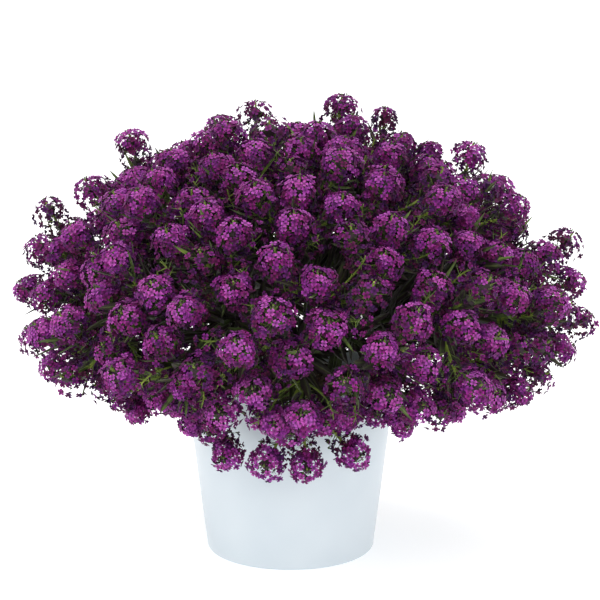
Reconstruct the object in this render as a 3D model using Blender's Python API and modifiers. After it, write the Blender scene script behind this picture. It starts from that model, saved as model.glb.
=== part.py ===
"""Sweet alyssum in a white plant pot, at its real size.

The origin is the centre of the pot's foot, +Z is up, and the plant's front faces -Y.

Eleven leafy stems stand in the soil. Each one divides into branches, and each branch carries one
spray: a few racemes that fork from one point. A raceme is the plant's flower head, a dome of
four-petalled florets over a column of older ones. The florets here are larger than life: each is
one point of the head's relief.
"""

import math
import random

import bmesh
import bpy
import numpy as np
from mathutils import Vector

TOUCH_GAP = 0.0003  # between solids that rest on each other

# The pot: a plain tapered plastic one
POT_HEIGHT = 0.124
POT_RIM_RADIUS = 0.0725
POT_FOOT_RADIUS = 0.0570
POT_WALL = 0.0022
POT_FLOOR = 0.0030
POT_FOOT_ROUND = 0.0030
POT_SIDES = 36

# The soil in it
SOIL_TOP = POT_HEIGHT - 0.012
SOIL_CROWN = 0.003  # how much higher the soil stands at its middle
SOIL_GRAIN = 0.0009
SOIL_SIDES = 16
SOIL_RINGS = 2
ROOT_DEPTH = 0.022  # how far a stem reaches into the soil
ROOT_HOLE_SIDES = 6

# The mound of flowers, as half sizes from its middle to the racemes' tips
MOUND_MIDDLE = Vector((0.007, 0.0, 0.165))
MOUND_ACROSS = 0.188
MOUND_DEEP = 0.180
MOUND_UP = 0.137
MOUND_DOWN = 0.071
LOWEST_LATITUDE = math.radians(-51)
VIEW_TILT = math.radians(13)  # the height from which the outline below is seen

# The racemes that make the outline seen from the front: degrees round it, from the right over the
# top, and how far each one reaches, as a share of the mound
OUTLINE_RACEMES = (
    (0, 1.05), (11, 1.03), (22, 1.07), (31, 0.92), (42, 1.00), (53, 1.05), (60, 0.97), (67, 0.96),
    (73, 1.06), (82, 1.09), (91, 0.94), (99, 1.06), (107, 1.02), (117, 0.95), (125, 1.10),
    (140, 1.03), (149, 1.09), (159, 1.04), (171, 1.03), (187, 1.00), (203, 1.00), (219, 0.94),
    (233, 1.00), (246, 1.00), (257, 1.20), (264, 1.24), (271, 1.26), (280, 1.18), (292, 1.00),
    (305, 0.97), (318, 0.98), (331, 1.01), (346, 1.00),
)

# The rest of the racemes, spread evenly over the mound
SPREAD_RACEMES = 224
SPREAD_SEED = 12
SPREAD_JITTER = 0.004
SPREAD_REACH = (0.87, 1.01)
SPREAD_PUSH = 0.045  # racemes nearer than this push each other apart
SPREAD_STEPS = 80
SPREAD_STRENGTH = 0.2
GOLDEN_ANGLE = math.pi * (3 - math.sqrt(5))

# A raceme: its ring radii and their distances below the tip, as shares of the head's radius
HEAD_RADIUS = (0.0122, 0.0148)
LEAST_HEAD = 0.0095
HEAD_FLORETS = 3  # raised florets round each ring
RELIEF = 0.20  # how far the hollows between florets lie under their points
HEAD_RINGS = (
    # distance, radius, with hollows between the florets
    (0.14, 0.64, False),
    (0.72, 1.00, True),
    (2.45, 0.66, False),
)
RACHIS_END = 3.0  # where the rachis enters the head, on the same scale
RACHIS_END_LIMIT = 0.9  # as a share of the raceme, for the shortest ones
RACHIS_RADIUS = 0.0013
LOW_RISE = math.radians(6)  # how steeply the lowest racemes rise at their tips
RISE_POWER = 0.65

# The forks where the sprays begin, as half sizes of the shell that they lie on
SPRAYS = 44
FORK_ACROSS = 0.137
FORK_DEEP = 0.130
FORK_UP = 0.088
FORK_DOWN = 0.034
FORK_LOWEST = math.radians(-32)
FORK_RADIUS = 0.0030
FORK_LENGTH = 0.0050
RACHIS_START = 0.0012  # from the fork's middle, towards the raceme

# The leafy stems
STEMS = 11
STEM_MIDDLE = Vector((0.003, 0.0, 0.146))
STEM_SPREAD = 0.046
STEM_UP = 0.050
STEM_ROOT_SPREAD = 0.030
STEM_RADIUS = 0.0024
BRANCH_RADIUS = 0.0017
BRANCH_END_RADIUS = 0.0013
BRANCH_START = 0.97  # up the stem
BRANCH_BENDS = 3
BRANCH_STRAIGHT = 0.004  # the straight end under a spray's fork
LEAF_LENGTH = (0.025, 0.034)
LEAF_WIDTH = 0.0040
LEAF_THICKNESS = 0.0010
LEAF_PLACES = (0.60, 0.82, 0.95)  # along a branch
LEAF_CORNERS = (0.0, math.pi / 2, math.pi)
LEAF_SLANT = 0.7  # how far a leaf leans out from its stem, as a share of its way along it
LEAF_CURL = 0.4
LEAF_TURNS = 12
LEAF_CLEARANCE = 0.0006
LEAF_SEED = 5
POT_CLEARANCE = 0.004

WHITE = (0.80, 0.84, 0.88, 1.0)
BROWN = (0.06, 0.035, 0.02, 1.0)
GREEN = (0.10, 0.20, 0.03, 1.0)
PURPLE = (0.20, 0.015, 0.19, 1.0)


def clear_scene():
    for obj in list(bpy.data.objects):
        bpy.data.objects.remove(obj)


def new_collection(name):
    collection = bpy.data.collections.new(name)
    bpy.context.scene.collection.children.link(collection)
    return collection


def moved_to(collection, obj):
    for holder in list(obj.users_collection):
        holder.objects.unlink(obj)
    collection.objects.link(obj)
    return obj


def finish(name, colour, roughness):
    """A Principled material of one colour."""
    material = bpy.data.materials.new(name)
    material.use_nodes = True
    shader = material.node_tree.nodes["Principled BSDF"]
    shader.inputs["Base Color"].default_value = colour
    shader.inputs["Roughness"].default_value = roughness
    shader.inputs["Metallic"].default_value = 0.0
    return material


# Shapes

def mesh_object(name, points, edges, faces, collection):
    mesh = bpy.data.meshes.new(name)
    mesh.from_pydata(points, edges, faces)
    obj = bpy.data.objects.new(name, mesh)
    collection.objects.link(obj)
    return obj


def turned(name, profile, sides, collection):
    """A profile of (radius, height) turned round Z, whose first and last points lie on the axis."""
    points = [(radius, 0.0, height) for radius, height in profile]
    edges = [(i, i + 1) for i in range(len(points) - 1)]
    obj = mesh_object(name, points, edges, [], collection)
    screw = obj.modifiers.new("turn", "SCREW")
    screw.steps = sides
    screw.render_steps = sides
    screw.use_merge_vertices = True
    screw.merge_threshold = 0.00005
    return obj


def stitched(lower, upper):
    """Triangles between two closed rings of (index, angle), stepping on round by the nearer angle."""
    if len(upper) == 1:
        return [(a[0], b[0], upper[0][0]) for a, b in zip(lower, lower[1:] + lower[:1])]
    faces = []
    i = j = 0
    while i < len(lower) or j < len(upper):
        here, there = lower[i % len(lower)], upper[j % len(upper)]
        next_here, next_there = lower[(i + 1) % len(lower)], upper[(j + 1) % len(upper)]
        lower_angle = next_here[1] + (2 * math.pi if i + 1 >= len(lower) else 0.0)
        upper_angle = next_there[1] + (2 * math.pi if j + 1 >= len(upper) else 0.0)
        if j == len(upper) or (i < len(lower) and lower_angle <= upper_angle):
            faces.append((here[0], next_here[0], there[0]))
            i += 1
        else:
            faces.append((here[0], next_there[0], there[0]))
            j += 1
    return faces


def lofted(name, rings, collection):
    """A closed solid through rings of (angle, point). The last ring may be a single point."""
    points = [point for ring in rings for _, point in ring]
    numbered = []
    first = 0
    for ring in rings:
        numbered.append([(first + i, angle) for i, (angle, _) in enumerate(ring)])
        first += len(ring)
    faces = [tuple(i for i, _ in reversed(numbered[0]))]
    if len(numbered[-1]) > 1:
        faces.append(tuple(i for i, _ in numbered[-1]))
    for lower, upper in zip(numbered, numbered[1:]):
        faces += stitched(lower, upper)
    obj = mesh_object(name, points, [], faces, collection)
    bm = bmesh.new()
    bm.from_mesh(obj.data)
    bmesh.ops.triangulate(bm, faces=bm.faces[:])
    bmesh.ops.recalc_face_normals(bm, faces=bm.faces[:])
    bm.to_mesh(obj.data)
    bm.free()
    return obj


def tube(name, path, radii, collection):
    """A four-sided tube along a path, as a mesh with its caps welded."""
    curve = bpy.data.curves.new(name, "CURVE")
    curve.dimensions = "3D"
    curve.bevel_depth = 1.0
    curve.bevel_resolution = 0
    curve.use_fill_caps = True
    spline = curve.splines.new("POLY")
    spline.points.add(len(path) - 1)
    for knot, point, radius in zip(spline.points, path, radii):
        knot.co = (*point, 1.0)
        knot.radius = radius
    drawn = bpy.data.objects.new(name + "_line", curve)
    collection.objects.link(drawn)
    bpy.context.view_layer.update()
    graph = bpy.context.evaluated_depsgraph_get()
    mesh = bpy.data.meshes.new_from_object(drawn.evaluated_get(graph))
    bm = bmesh.new()
    bm.from_mesh(mesh)
    bmesh.ops.remove_doubles(bm, verts=bm.verts[:], dist=0.00001)
    bmesh.ops.recalc_face_normals(bm, faces=bm.faces[:])
    bm.to_mesh(mesh)
    bm.free()
    obj = bpy.data.objects.new(name, mesh)
    obj.matrix_world = drawn.matrix_world
    collection.objects.link(obj)
    bpy.data.objects.remove(drawn)
    return obj


def outer_body(mesh):
    """Keeps a mesh's largest shell: fusing can seal a small hollow, whose own shell goes."""
    bm = bmesh.new()
    bm.from_mesh(mesh)
    unseen = set(bm.verts)
    shells = []
    while unseen:
        shell = []
        reached = [unseen.pop()]
        while reached:
            vert = reached.pop()
            shell.append(vert)
            for edge in vert.link_edges:
                other = edge.other_vert(vert)
                if other in unseen:
                    unseen.remove(other)
                    reached.append(other)
        shells.append(shell)
    shells.sort(key=len)
    for shell in shells[:-1]:
        bmesh.ops.delete(bm, geom=shell, context="VERTS")
    bm.to_mesh(mesh)
    bm.free()


def joined(base, pieces, operation="UNION"):
    """Joins a collection's pieces to the base, or cuts them from it, and removes them."""
    boolean = base.modifiers.new("join", "BOOLEAN")
    boolean.operand_type = "COLLECTION"
    boolean.collection = pieces
    boolean.operation = operation
    boolean.solver = "MANIFOLD"
    bpy.context.view_layer.update()
    graph = bpy.context.evaluated_depsgraph_get()
    made = bpy.data.meshes.new_from_object(base.evaluated_get(graph))
    base.modifiers.clear()
    outer_body(made)
    base.data = made
    for obj in list(pieces.objects):
        bpy.data.objects.remove(obj)
    bpy.data.collections.remove(pieces)
    return base


# Where the plant's parts are

class Bend:
    """A smooth bend from start to end that arrives along a direction."""

    def __init__(self, start, end, arrival, share):
        self.start = start
        self.middle = end - arrival * ((end - start).length * share)
        self.end = end
        self.side = (self.middle - start).cross(end - self.middle)
        if self.side.length < 1e-7:
            self.side = arrival.orthogonal()
        self.side.normalize()
        places = [self.point(i / 8) for i in range(9)]
        self.length = sum((b - a).length for a, b in zip(places, places[1:]))

    def point(self, t):
        return self.start * (1 - t) ** 2 + self.middle * (2 * t * (1 - t)) + self.end * t**2

    def direction(self, t):
        return ((self.middle - self.start) * (1 - t) + (self.end - self.middle) * t).normalized()

    def ring(self, below_end, sizes, angles):
        """(angle, point) round the bend, at a distance below its end."""
        t = 1 - below_end / self.length
        middle = self.point(t)
        across = self.direction(t).cross(self.side)
        return [
            (a, middle + (self.side * math.cos(a) + across * math.sin(a)) * size)
            for a, size in zip(angles, sizes)
        ]

    def samples(self, step):
        """Points along the bend, about a step apart."""
        count = max(2, round(self.length / step))
        return [self.point(i / count) for i in range(count + 1)]


def shell_point(middle, half_sizes, azimuth, latitude, reach=1.0):
    """A place on a rounded shell. Azimuth 0 faces the front, and half_sizes ends with up and down."""
    across, deep, up, down = half_sizes
    flat = math.cos(latitude)
    height = (up if latitude > 0 else down) * math.sin(latitude)
    offset = (across * flat * math.sin(azimuth), -deep * flat * math.cos(azimuth), height)
    return middle + Vector(offset) * reach


def even_directions(count, half_sizes, lowest):
    """Azimuths and latitudes that spread points evenly over a shell, along a golden-angle spiral."""
    across, deep, up, down = half_sizes
    latitudes = np.linspace(lowest, math.pi / 2, 400)
    flat = (across + deep) / 2
    height = np.where(latitudes > 0, up, down)
    belt = np.cos(latitudes) * np.hypot(flat * np.sin(latitudes), height * np.cos(latitudes))
    covered = np.cumsum(belt) / belt.sum()
    shares = (np.arange(count) + 0.5) / count
    return [
        (i * GOLDEN_ANGLE, float(latitude))
        for i, latitude in enumerate(np.interp(shares, covered, latitudes))
    ]


def outline_direction(angle):
    """Azimuth and latitude of the place on the mound's outline at an angle round it."""
    height = MOUND_UP if math.sin(angle) > 0 else MOUND_DOWN
    lean = math.atan2(MOUND_DEEP * math.sin(VIEW_TILT), height * math.cos(VIEW_TILT))
    across, up = math.cos(angle), math.sin(angle)
    place = Vector((across, up * math.sin(lean), up * math.cos(lean)))
    return math.atan2(place.x, -place.y), math.asin(max(-1.0, min(1.0, place.z)))


def rise(azimuth, latitude):
    """The direction in which a raceme grows: outwards low on the mound, and upright on its top."""
    share = (latitude - LOWEST_LATITUDE) / (math.pi / 2 - LOWEST_LATITUDE)
    angle = LOW_RISE + (math.pi / 2 - LOW_RISE) * max(0.0, share) ** RISE_POWER
    return Vector(
        (math.cos(angle) * math.sin(azimuth), -math.cos(angle) * math.cos(azimuth), math.sin(angle))
    )


MOUND = (MOUND_ACROSS, MOUND_DEEP, MOUND_UP, MOUND_DOWN)
FORK_SHELL = (FORK_ACROSS, FORK_DEEP, FORK_UP, FORK_DOWN)


def spread_directions(fixed):
    """Azimuths and latitudes that fill the mound evenly between the fixed tips.

    They start on a spiral, and then push each other apart along the mound.
    """
    start = even_directions(SPREAD_RACEMES, MOUND, LOWEST_LATITUDE)
    free = np.array([shell_point(Vector(), MOUND, *direction) for direction in start])
    held = np.array([tip - MOUND_MIDDLE for tip in fixed])
    lowest = math.sin(LOWEST_LATITUDE)
    for _ in range(SPREAD_STEPS):
        others = np.vstack([free, held])
        away = free[:, None] - others[None]
        apart = np.linalg.norm(away, axis=2) + 1e-9
        push = np.clip(SPREAD_PUSH - apart, 0, None) / apart
        free = free + (away * push[:, :, None]).sum(axis=1) * SPREAD_STRENGTH
        height = np.where(free[:, 2] > 0, MOUND_UP, MOUND_DOWN)
        sizes = np.stack([np.full(len(free), MOUND_ACROSS), np.full(len(free), MOUND_DEEP), height], 1)
        unit = free / sizes
        unit /= np.linalg.norm(unit, axis=1)[:, None]
        low = unit[:, 2] < lowest
        flat = np.hypot(unit[low, 0], unit[low, 1])
        unit[low, :2] *= (math.cos(LOWEST_LATITUDE) / flat)[:, None]
        unit[low, 2] = lowest
        free = unit * sizes
    return [(math.atan2(x, -y), math.asin(min(1.0, z))) for x, y, z in unit]


def raceme_tips():
    """(tip, growth direction, head radius) of every raceme."""
    draw = random.Random(SPREAD_SEED)
    tips = []
    for degrees, reach in OUTLINE_RACEMES:
        azimuth, latitude = outline_direction(math.radians(degrees))
        tip = shell_point(MOUND_MIDDLE, MOUND, azimuth, latitude, reach)
        tips.append((tip, rise(azimuth, latitude), draw.uniform(*HEAD_RADIUS)))
    for azimuth, latitude in spread_directions([tip for tip, _, _ in tips]):
        shift = Vector([draw.uniform(-SPREAD_JITTER, SPREAD_JITTER) for _ in range(3)])
        reach, radius = draw.uniform(*SPREAD_REACH), draw.uniform(*HEAD_RADIUS)
        tip = shell_point(MOUND_MIDDLE, MOUND, azimuth, latitude, reach) + shift
        tips.append((tip, rise(azimuth, latitude), radius))
    return tips


def nearest(places, point):
    return min(range(len(places)), key=lambda i: (places[i] - point).length)


def spray_plan():
    """Every spray as (fork, direction, [(bend, head radius), ...]), with the heads clear of others."""
    forks = [
        shell_point(MOUND_MIDDLE, FORK_SHELL, azimuth, latitude)
        for azimuth, latitude in even_directions(SPRAYS, FORK_SHELL, FORK_LOWEST)
    ]
    groups = [[] for _ in forks]
    for tip, growth, radius in raceme_tips():
        groups[nearest(forks, tip)].append((tip, growth, radius))
    sprays = []
    for fork, members in zip(forks, groups):
        lean = sum(((tip - fork).normalized() for tip, _, _ in members), Vector())
        lean.normalize()
        middle = fork + lean * (FORK_LENGTH / 2)
        bends = []
        for tip, growth, radius in members:
            start = middle + (tip - middle).normalized() * RACHIS_START
            bends.append((Bend(start, tip, growth, 0.5), radius))
        sprays.append((fork, lean, bends))
    return with_room(sprays)


def with_room(sprays):
    """Narrows the heads that would meet another head."""
    racemes = [(owner, *raceme) for owner, (_, _, bends) in enumerate(sprays) for raceme in bends]
    places, widths, numbers, owners, low = [], [], [], [], []
    for number, (owner, bend, radius) in enumerate(racemes):
        for below, width, _ in HEAD_RINGS:
            places.append(bend.point(1 - below * radius / bend.length))
            widths.append(width * radius)
            numbers.append(number)
            owners.append(owner)
            low.append(below > 1)
    places, widths, numbers = np.array(places), np.array(widths), np.array(numbers)
    owners, low = np.array(owners), np.array(low)
    apart = np.linalg.norm(places[:, None] - places[None], axis=2)
    share = (apart - 2 * TOUCH_GAP) / (widths[:, None] + widths[None])
    share[numbers[:, None] == numbers[None]] = 1.0
    share[(owners[:, None] == owners[None]) & (low[:, None] | low[None])] = 1.0
    shares = np.minimum(1.0, share.min(axis=1))
    narrowed = [(fork, lean, []) for fork, lean, _ in sprays]
    for number, (owner, bend, radius) in enumerate(racemes):
        least = shares[numbers == number].min()
        narrowed[owner][2].append((bend, max(LEAST_HEAD, radius * float(least))))
    return narrowed


def stem_plan():
    """Every stem as (root, top)."""
    stems = []
    for azimuth, latitude in even_directions(STEMS, (1.0, 1.0, 1.0, 1.0), 0.0):
        spread = (STEM_SPREAD, STEM_SPREAD, STEM_UP, STEM_UP)
        top = shell_point(STEM_MIDDLE, spread, azimuth, latitude)
        out = Vector((top.x, top.y, 0)) * (STEM_ROOT_SPREAD / STEM_SPREAD)
        stems.append((Vector((out.x, out.y, SOIL_TOP - ROOT_DEPTH + TOUCH_GAP)), top))
    return stems


# The pieces

def build_pot(collection, material):
    slope = (POT_RIM_RADIUS - POT_FOOT_RADIUS) / POT_HEIGHT
    lip = POT_WALL / 2
    inside_top = POT_RIM_RADIUS - POT_WALL
    inside_foot = POT_FOOT_RADIUS + slope * POT_FLOOR - POT_WALL
    half = POT_FOOT_ROUND * (1 - math.sqrt(0.5))
    profile = [
        (0.0, POT_FLOOR),
        (inside_foot, POT_FLOOR),
        (inside_top - slope * lip, POT_HEIGHT - lip),
        (inside_top + lip / 2, POT_HEIGHT),
        (POT_RIM_RADIUS - lip / 2, POT_HEIGHT),
        (POT_RIM_RADIUS - slope * lip, POT_HEIGHT - lip),
        (POT_FOOT_RADIUS + slope * POT_FOOT_ROUND, POT_FOOT_ROUND),
        (POT_FOOT_RADIUS - half, half),
        (POT_FOOT_RADIUS - POT_FOOT_ROUND, 0.0),
        (0.0, 0.0),
    ]
    pot = turned("pot", profile, POT_SIDES, collection)
    pot.data.materials.append(material)


def build_soil(collection, cutters, stems, material):
    """A plug of soil that fills the pot, with a plain hole for each stem."""
    draw = random.Random(SPREAD_SEED)
    slope = (POT_RIM_RADIUS - POT_FOOT_RADIUS) / POT_HEIGHT
    floor = POT_FLOOR + TOUCH_GAP

    def radius_at(height):
        # the pot's wall has flat sides, so the soil keeps inside their middles
        wall = POT_FOOT_RADIUS + slope * height - POT_WALL
        return wall * math.cos(math.pi / POT_SIDES) - TOUCH_GAP

    def ring(radius, height, grain):
        made = []
        for i in range(SOIL_SIDES):
            a = 2 * math.pi * i / SOIL_SIDES
            level = height + draw.uniform(-grain, grain)
            made.append((a, Vector((radius * math.cos(a), radius * math.sin(a), level))))
        return made

    rings = [ring(radius_at(floor), floor, 0.0)]
    for i in range(SOIL_RINGS):
        share = 1 - i / SOIL_RINGS
        crown = SOIL_CROWN * (1 - share**2)
        rings.append(ring(radius_at(SOIL_TOP) * share, SOIL_TOP + crown, SOIL_GRAIN))
    rings.append([(0.0, Vector((0, 0, SOIL_TOP + SOIL_CROWN)))])
    soil = lofted("soil", rings, collection)
    for root, top in stems:
        direction = (top - root).normalized()
        bpy.ops.mesh.primitive_cylinder_add(
            vertices=ROOT_HOLE_SIDES,
            radius=STEM_RADIUS / math.cos(math.pi / ROOT_HOLE_SIDES) + 2 * TOUCH_GAP,
            depth=4 * ROOT_DEPTH,
            location=root + direction * (2 * ROOT_DEPTH - TOUCH_GAP),
            rotation=direction.to_track_quat("Z", "Y").to_euler(),
        )
        moved_to(cutters, bpy.context.object)
    joined(soil, cutters, "DIFFERENCE")
    soil.data.materials.clear()
    soil.data.materials.append(material)


def raceme(name, bend, radius, collection):
    """One flower head with its rachis: rings of raised florets with hollows between them."""
    corners = [2 * math.pi * i / 3 for i in range(3)]
    ends = (bend.length, min(RACHIS_END * radius, bend.length * RACHIS_END_LIMIT))
    rings = [bend.ring(below, [RACHIS_RADIUS] * 3, corners) for below in ends]
    for below, width, hollows in reversed(HEAD_RINGS):
        points = HEAD_FLORETS * (2 if hollows else 1)
        sizes = [
            width * radius * (1 if i % 2 or not hollows else 1 - RELIEF)
            for i in range(points)
        ]
        rings.append(bend.ring(below * radius, sizes, [2 * math.pi * i / points for i in range(points)]))
    rings.append([(0.0, bend.end)])
    return lofted(name, rings, collection)


def build_spray(name, fork, lean, bends, collection, material):
    """The racemes of one spray, fused where they fork."""
    bpy.ops.mesh.primitive_cone_add(
        vertices=4,
        radius1=FORK_RADIUS,
        radius2=FORK_RADIUS,
        depth=FORK_LENGTH,
        location=fork + lean * (FORK_LENGTH / 2),
        rotation=lean.to_track_quat("Z", "Y").to_euler(),
    )
    spray = moved_to(collection, bpy.context.object)
    spray.name = name
    pieces = new_collection(name + "_pieces")
    for i, (bend, radius) in enumerate(bends):
        raceme(f"{name}_raceme_{i}", bend, radius, pieces)
    joined(spray, pieces)
    spray.data.materials.clear()
    spray.data.materials.append(material)


class Room:
    """What is already in the mound, as small balls, so that leaves can keep clear of it."""

    def __init__(self):
        self.places = []
        self.widths = []
        self.owners = []

    def take(self, points, width, owner):
        self.places += [tuple(point) for point in points]
        self.widths += [width] * len(points)
        self.owners += [owner] * len(points)

    def clearance(self, points, width, owner):
        """The least gap between a line of points, of a half width, and what others own."""
        others = np.array(self.owners) != owner
        places, widths = np.array(self.places)[others], np.array(self.widths)[others]
        line = np.array([tuple(point) for point in points])
        apart = np.linalg.norm(line[:, None] - places[None], axis=2) - widths[None]
        return apart.min() - width


def taken_room(sprays, branches):
    room = Room()
    for i, (_, _, bends) in enumerate(sprays):
        for bend, radius in bends:
            for below, width, _ in HEAD_RINGS:
                room.take([bend.point(1 - below * radius / bend.length)], width * radius, f"spray {i}")
            stalk = bend.samples(0.003)
            room.take(stalk[: len(stalk) // 2], RACHIS_RADIUS * 2, f"spray {i}")
    for stem, bends in enumerate(branches):
        for bend in bends:
            room.take(bend.samples(0.003), BRANCH_RADIUS, stem)
    turns = [2 * math.pi * i / (2 * POT_SIDES) for i in range(2 * POT_SIDES)]
    rim = [(POT_RIM_RADIUS * math.cos(a), POT_RIM_RADIUS * math.sin(a), POT_HEIGHT) for a in turns]
    room.take(rim, POT_CLEARANCE, "pot")
    return room


def branch_plan(sprays, stems):
    """The bends of each stem's branches. Each ends just under a spray's fork."""
    tops = [top for _, top in stems]
    branches = [[] for _ in stems]
    for fork, lean, _ in sprays:
        stem = nearest(tops, fork)
        root, top = stems[stem]
        start = root.lerp(top, BRANCH_START)
        branches[stem].append(Bend(start, fork - lean * TOUCH_GAP, lean, 0.45))
    return branches


def leaf_bend(root, along, side, turn, length):
    """A leaf's middle line: it leaves its stem at a slant and curls towards the stem's direction."""
    across = along.cross(side)
    out = side * math.cos(turn) + across * math.sin(turn)
    heading = (along + out * LEAF_SLANT).normalized()
    return Bend(root, root + heading * length, (heading + along * LEAF_CURL).normalized(), 0.5)


def build_leaf(name, bend, collection):
    """A narrow blade with a keel: its root is inside the stem."""
    root = bend.ring(bend.length, [LEAF_THICKNESS / 2] * 3, LEAF_CORNERS)
    wide = bend.ring(bend.length * 0.42, [LEAF_WIDTH / 2, LEAF_THICKNESS, LEAF_WIDTH / 2], LEAF_CORNERS)
    return lofted(name, [root, wide, [(0.0, bend.end)]], collection)


def build_stem(number, stem, branches, room, collection, material):
    """A stem that stands in the soil, with its branches and leaves fused to it."""
    draw = random.Random(LEAF_SEED + number)
    root, top = stem
    name = f"leafy_stem_{number + 1:02d}"
    body = tube(name, [root, top], [STEM_RADIUS, BRANCH_RADIUS], collection)
    pieces = new_collection(name + "_pieces")
    leaves = 0
    for i, bend in enumerate(branches):
        steps = [j / BRANCH_BENDS for j in range(BRANCH_BENDS)]
        path = [bend.point(t) for t in steps]
        path.append(bend.end - bend.direction(1.0) * BRANCH_STRAIGHT)
        path.append(bend.end)
        slim = [BRANCH_RADIUS + (BRANCH_END_RADIUS - BRANCH_RADIUS) * t for t in steps]
        radii = slim + [BRANCH_END_RADIUS] * 2
        tube(f"{name}_branch_{i}", path, radii, pieces)
        for place in LEAF_PLACES:
            length = draw.uniform(*LEAF_LENGTH)
            turn = draw.uniform(0, 2 * math.pi)
            for attempt in range(LEAF_TURNS):
                way = turn + attempt * GOLDEN_ANGLE
                leaf = leaf_bend(bend.point(place), bend.direction(place), bend.side, way, length)
                line = leaf.samples(0.002)
                if room.clearance(line, LEAF_WIDTH / 2, number) > LEAF_CLEARANCE:
                    build_leaf(f"{name}_leaf_{leaves}", leaf, pieces)
                    room.take(line, LEAF_WIDTH / 2, number)
                    leaves += 1
                    break
    joined(body, pieces)
    body.data.materials.clear()
    body.data.materials.append(material)


def main():
    clear_scene()
    parts = new_collection("sweet_alyssum")
    white = finish("white_plastic", WHITE, 0.35)
    brown = finish("potting_soil", BROWN, 0.95)
    green = finish("stem_green", GREEN, 0.6)
    purple = finish("floret_purple", PURPLE, 0.7)

    sprays = spray_plan()
    stems = stem_plan()
    branches = branch_plan(sprays, stems)
    room = taken_room(sprays, branches)
    build_pot(parts, white)
    build_soil(parts, new_collection("root_holes"), stems, brown)
    for number, (stem, bends) in enumerate(zip(stems, branches)):
        build_stem(number, stem, bends, room, parts, green)
    for i, (fork, lean, bends) in enumerate(sprays):
        build_spray(f"spray_{i + 1:02d}", fork, lean, bends, parts, purple)


main()
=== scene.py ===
"""The looks of a potted sweet alyssum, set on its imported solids.

The plant's layout is worked out from the same sizes and seeds as the solids. Each spray of flower
heads, each leafy stem, the soil and the pot then get finer pieces that keep the solids' form.
"""

from __future__ import annotations

import logging
import math
import random
from dataclasses import dataclass
from enum import Enum
from typing import Any, Sequence

import bpy
import numpy as np
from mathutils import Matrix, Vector
from numpy.random import Generator

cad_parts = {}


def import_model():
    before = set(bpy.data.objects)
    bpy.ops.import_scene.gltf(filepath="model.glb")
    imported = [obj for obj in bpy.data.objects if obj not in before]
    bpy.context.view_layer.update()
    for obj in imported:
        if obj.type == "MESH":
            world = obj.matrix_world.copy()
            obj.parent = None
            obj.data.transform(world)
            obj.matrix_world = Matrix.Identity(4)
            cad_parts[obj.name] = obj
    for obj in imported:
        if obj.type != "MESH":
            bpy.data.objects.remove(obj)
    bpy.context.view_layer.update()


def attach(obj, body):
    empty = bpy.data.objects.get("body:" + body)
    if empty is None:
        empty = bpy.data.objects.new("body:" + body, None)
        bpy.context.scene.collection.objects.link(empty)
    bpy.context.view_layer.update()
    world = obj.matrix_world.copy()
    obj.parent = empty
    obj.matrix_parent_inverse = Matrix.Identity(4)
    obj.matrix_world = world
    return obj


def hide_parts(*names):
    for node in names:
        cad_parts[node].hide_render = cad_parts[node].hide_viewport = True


Pair = tuple[float, float]
Triple = tuple[float, float, float]
LOG = logging.getLogger("sweet_alyssum")
GOLDEN_ANGLE = math.pi * (3 - math.sqrt(5))
TOUCH_GAP = 0.0003  # between solids that rest on each other
TONE = "tone"  # the colour attribute that carries age, chance, place across and shade
STEM_ACROSS = 0.7  # a stem's place across, past the reach of a leaf's midrib
NOISE_LOW, NOISE_HIGH = 0.3, 0.7  # smooth noise hardly ever leaves this range
SPIN = 6.3  # radians, a full turn and a bit, for draws of which any part will do
UPRIGHT = np.array([0.0, 0.0, 1.0])
SIDEWAYS = np.array([1.0, 0.0, 0.0])


class Shade(Enum):
    """How pale a grain is, as the last number of its tone. Only the soil's finish reads it."""

    DARK = 0.0
    PALE = 1.0


class Flower(Enum):
    """The kinds of small mesh that a flower head is set with."""

    OPEN = "open floret"
    OLD = "old floret"
    BUD = "bud or pod"


def linear(code: str, alpha: float = 1.0) -> tuple[float, float, float, float]:
    """A linear colour from an sRGB hex value.

    Args:
        code: Six hex digits with or without a leading hash.
        alpha: The colour's alpha.

    Returns:
        Linear red, green, blue and alpha.
    """
    digits = code.lstrip("#")
    parts = [int(digits[i : i + 2], 16) / 255 for i in (0, 2, 4)]
    return (*(p / 12.92 if p <= 0.04045 else ((p + 0.055) / 1.055) ** 2.4 for p in parts), alpha)


def add_node(tree: bpy.types.NodeTree, kind: str, values: dict[str | int, Any] | None = None,
        links: dict[str | int, bpy.types.NodeSocket] | None = None, **settings: Any) -> bpy.types.Node:
    """Adds a node with its settings and links.

    Args:
        tree: The material's node tree.
        kind: The node's type name.
        values: Input values by socket name or number.
        links: Sockets that feed inputs, by socket name or number.
        **settings: The node's own properties.

    Returns:
        The new node.
    """
    node = tree.nodes.new(kind)
    for name, value in settings.items():
        setattr(node, name, value)
    for name, value in (values or {}).items():
        node.inputs[name].default_value = value
    for name, socket in (links or {}).items():
        tree.links.new(socket, node.inputs[name])
    return node


def set_stops(node: bpy.types.Node, stops: Sequence[tuple[float, str]]) -> None:
    """Gives a colour ramp its stops.

    Args:
        node: The colour ramp.
        stops: Each stop's place and hex colour.
    """
    ramp = node.color_ramp
    while len(ramp.elements) < len(stops):
        ramp.elements.new(1.0)
    for element, (place, code) in zip(ramp.elements, stops):
        element.position = place
        element.color = linear(code)


def new_material(name: str) -> tuple[bpy.types.Material, bpy.types.NodeTree, bpy.types.Node]:
    """Starts a material.

    Args:
        name: Its name.

    Returns:
        The material, its node tree and its Principled shader.
    """
    material = bpy.data.materials.new(name)
    material.use_nodes = True
    tree = material.node_tree
    return material, tree, tree.nodes["Principled BSDF"]


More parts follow.
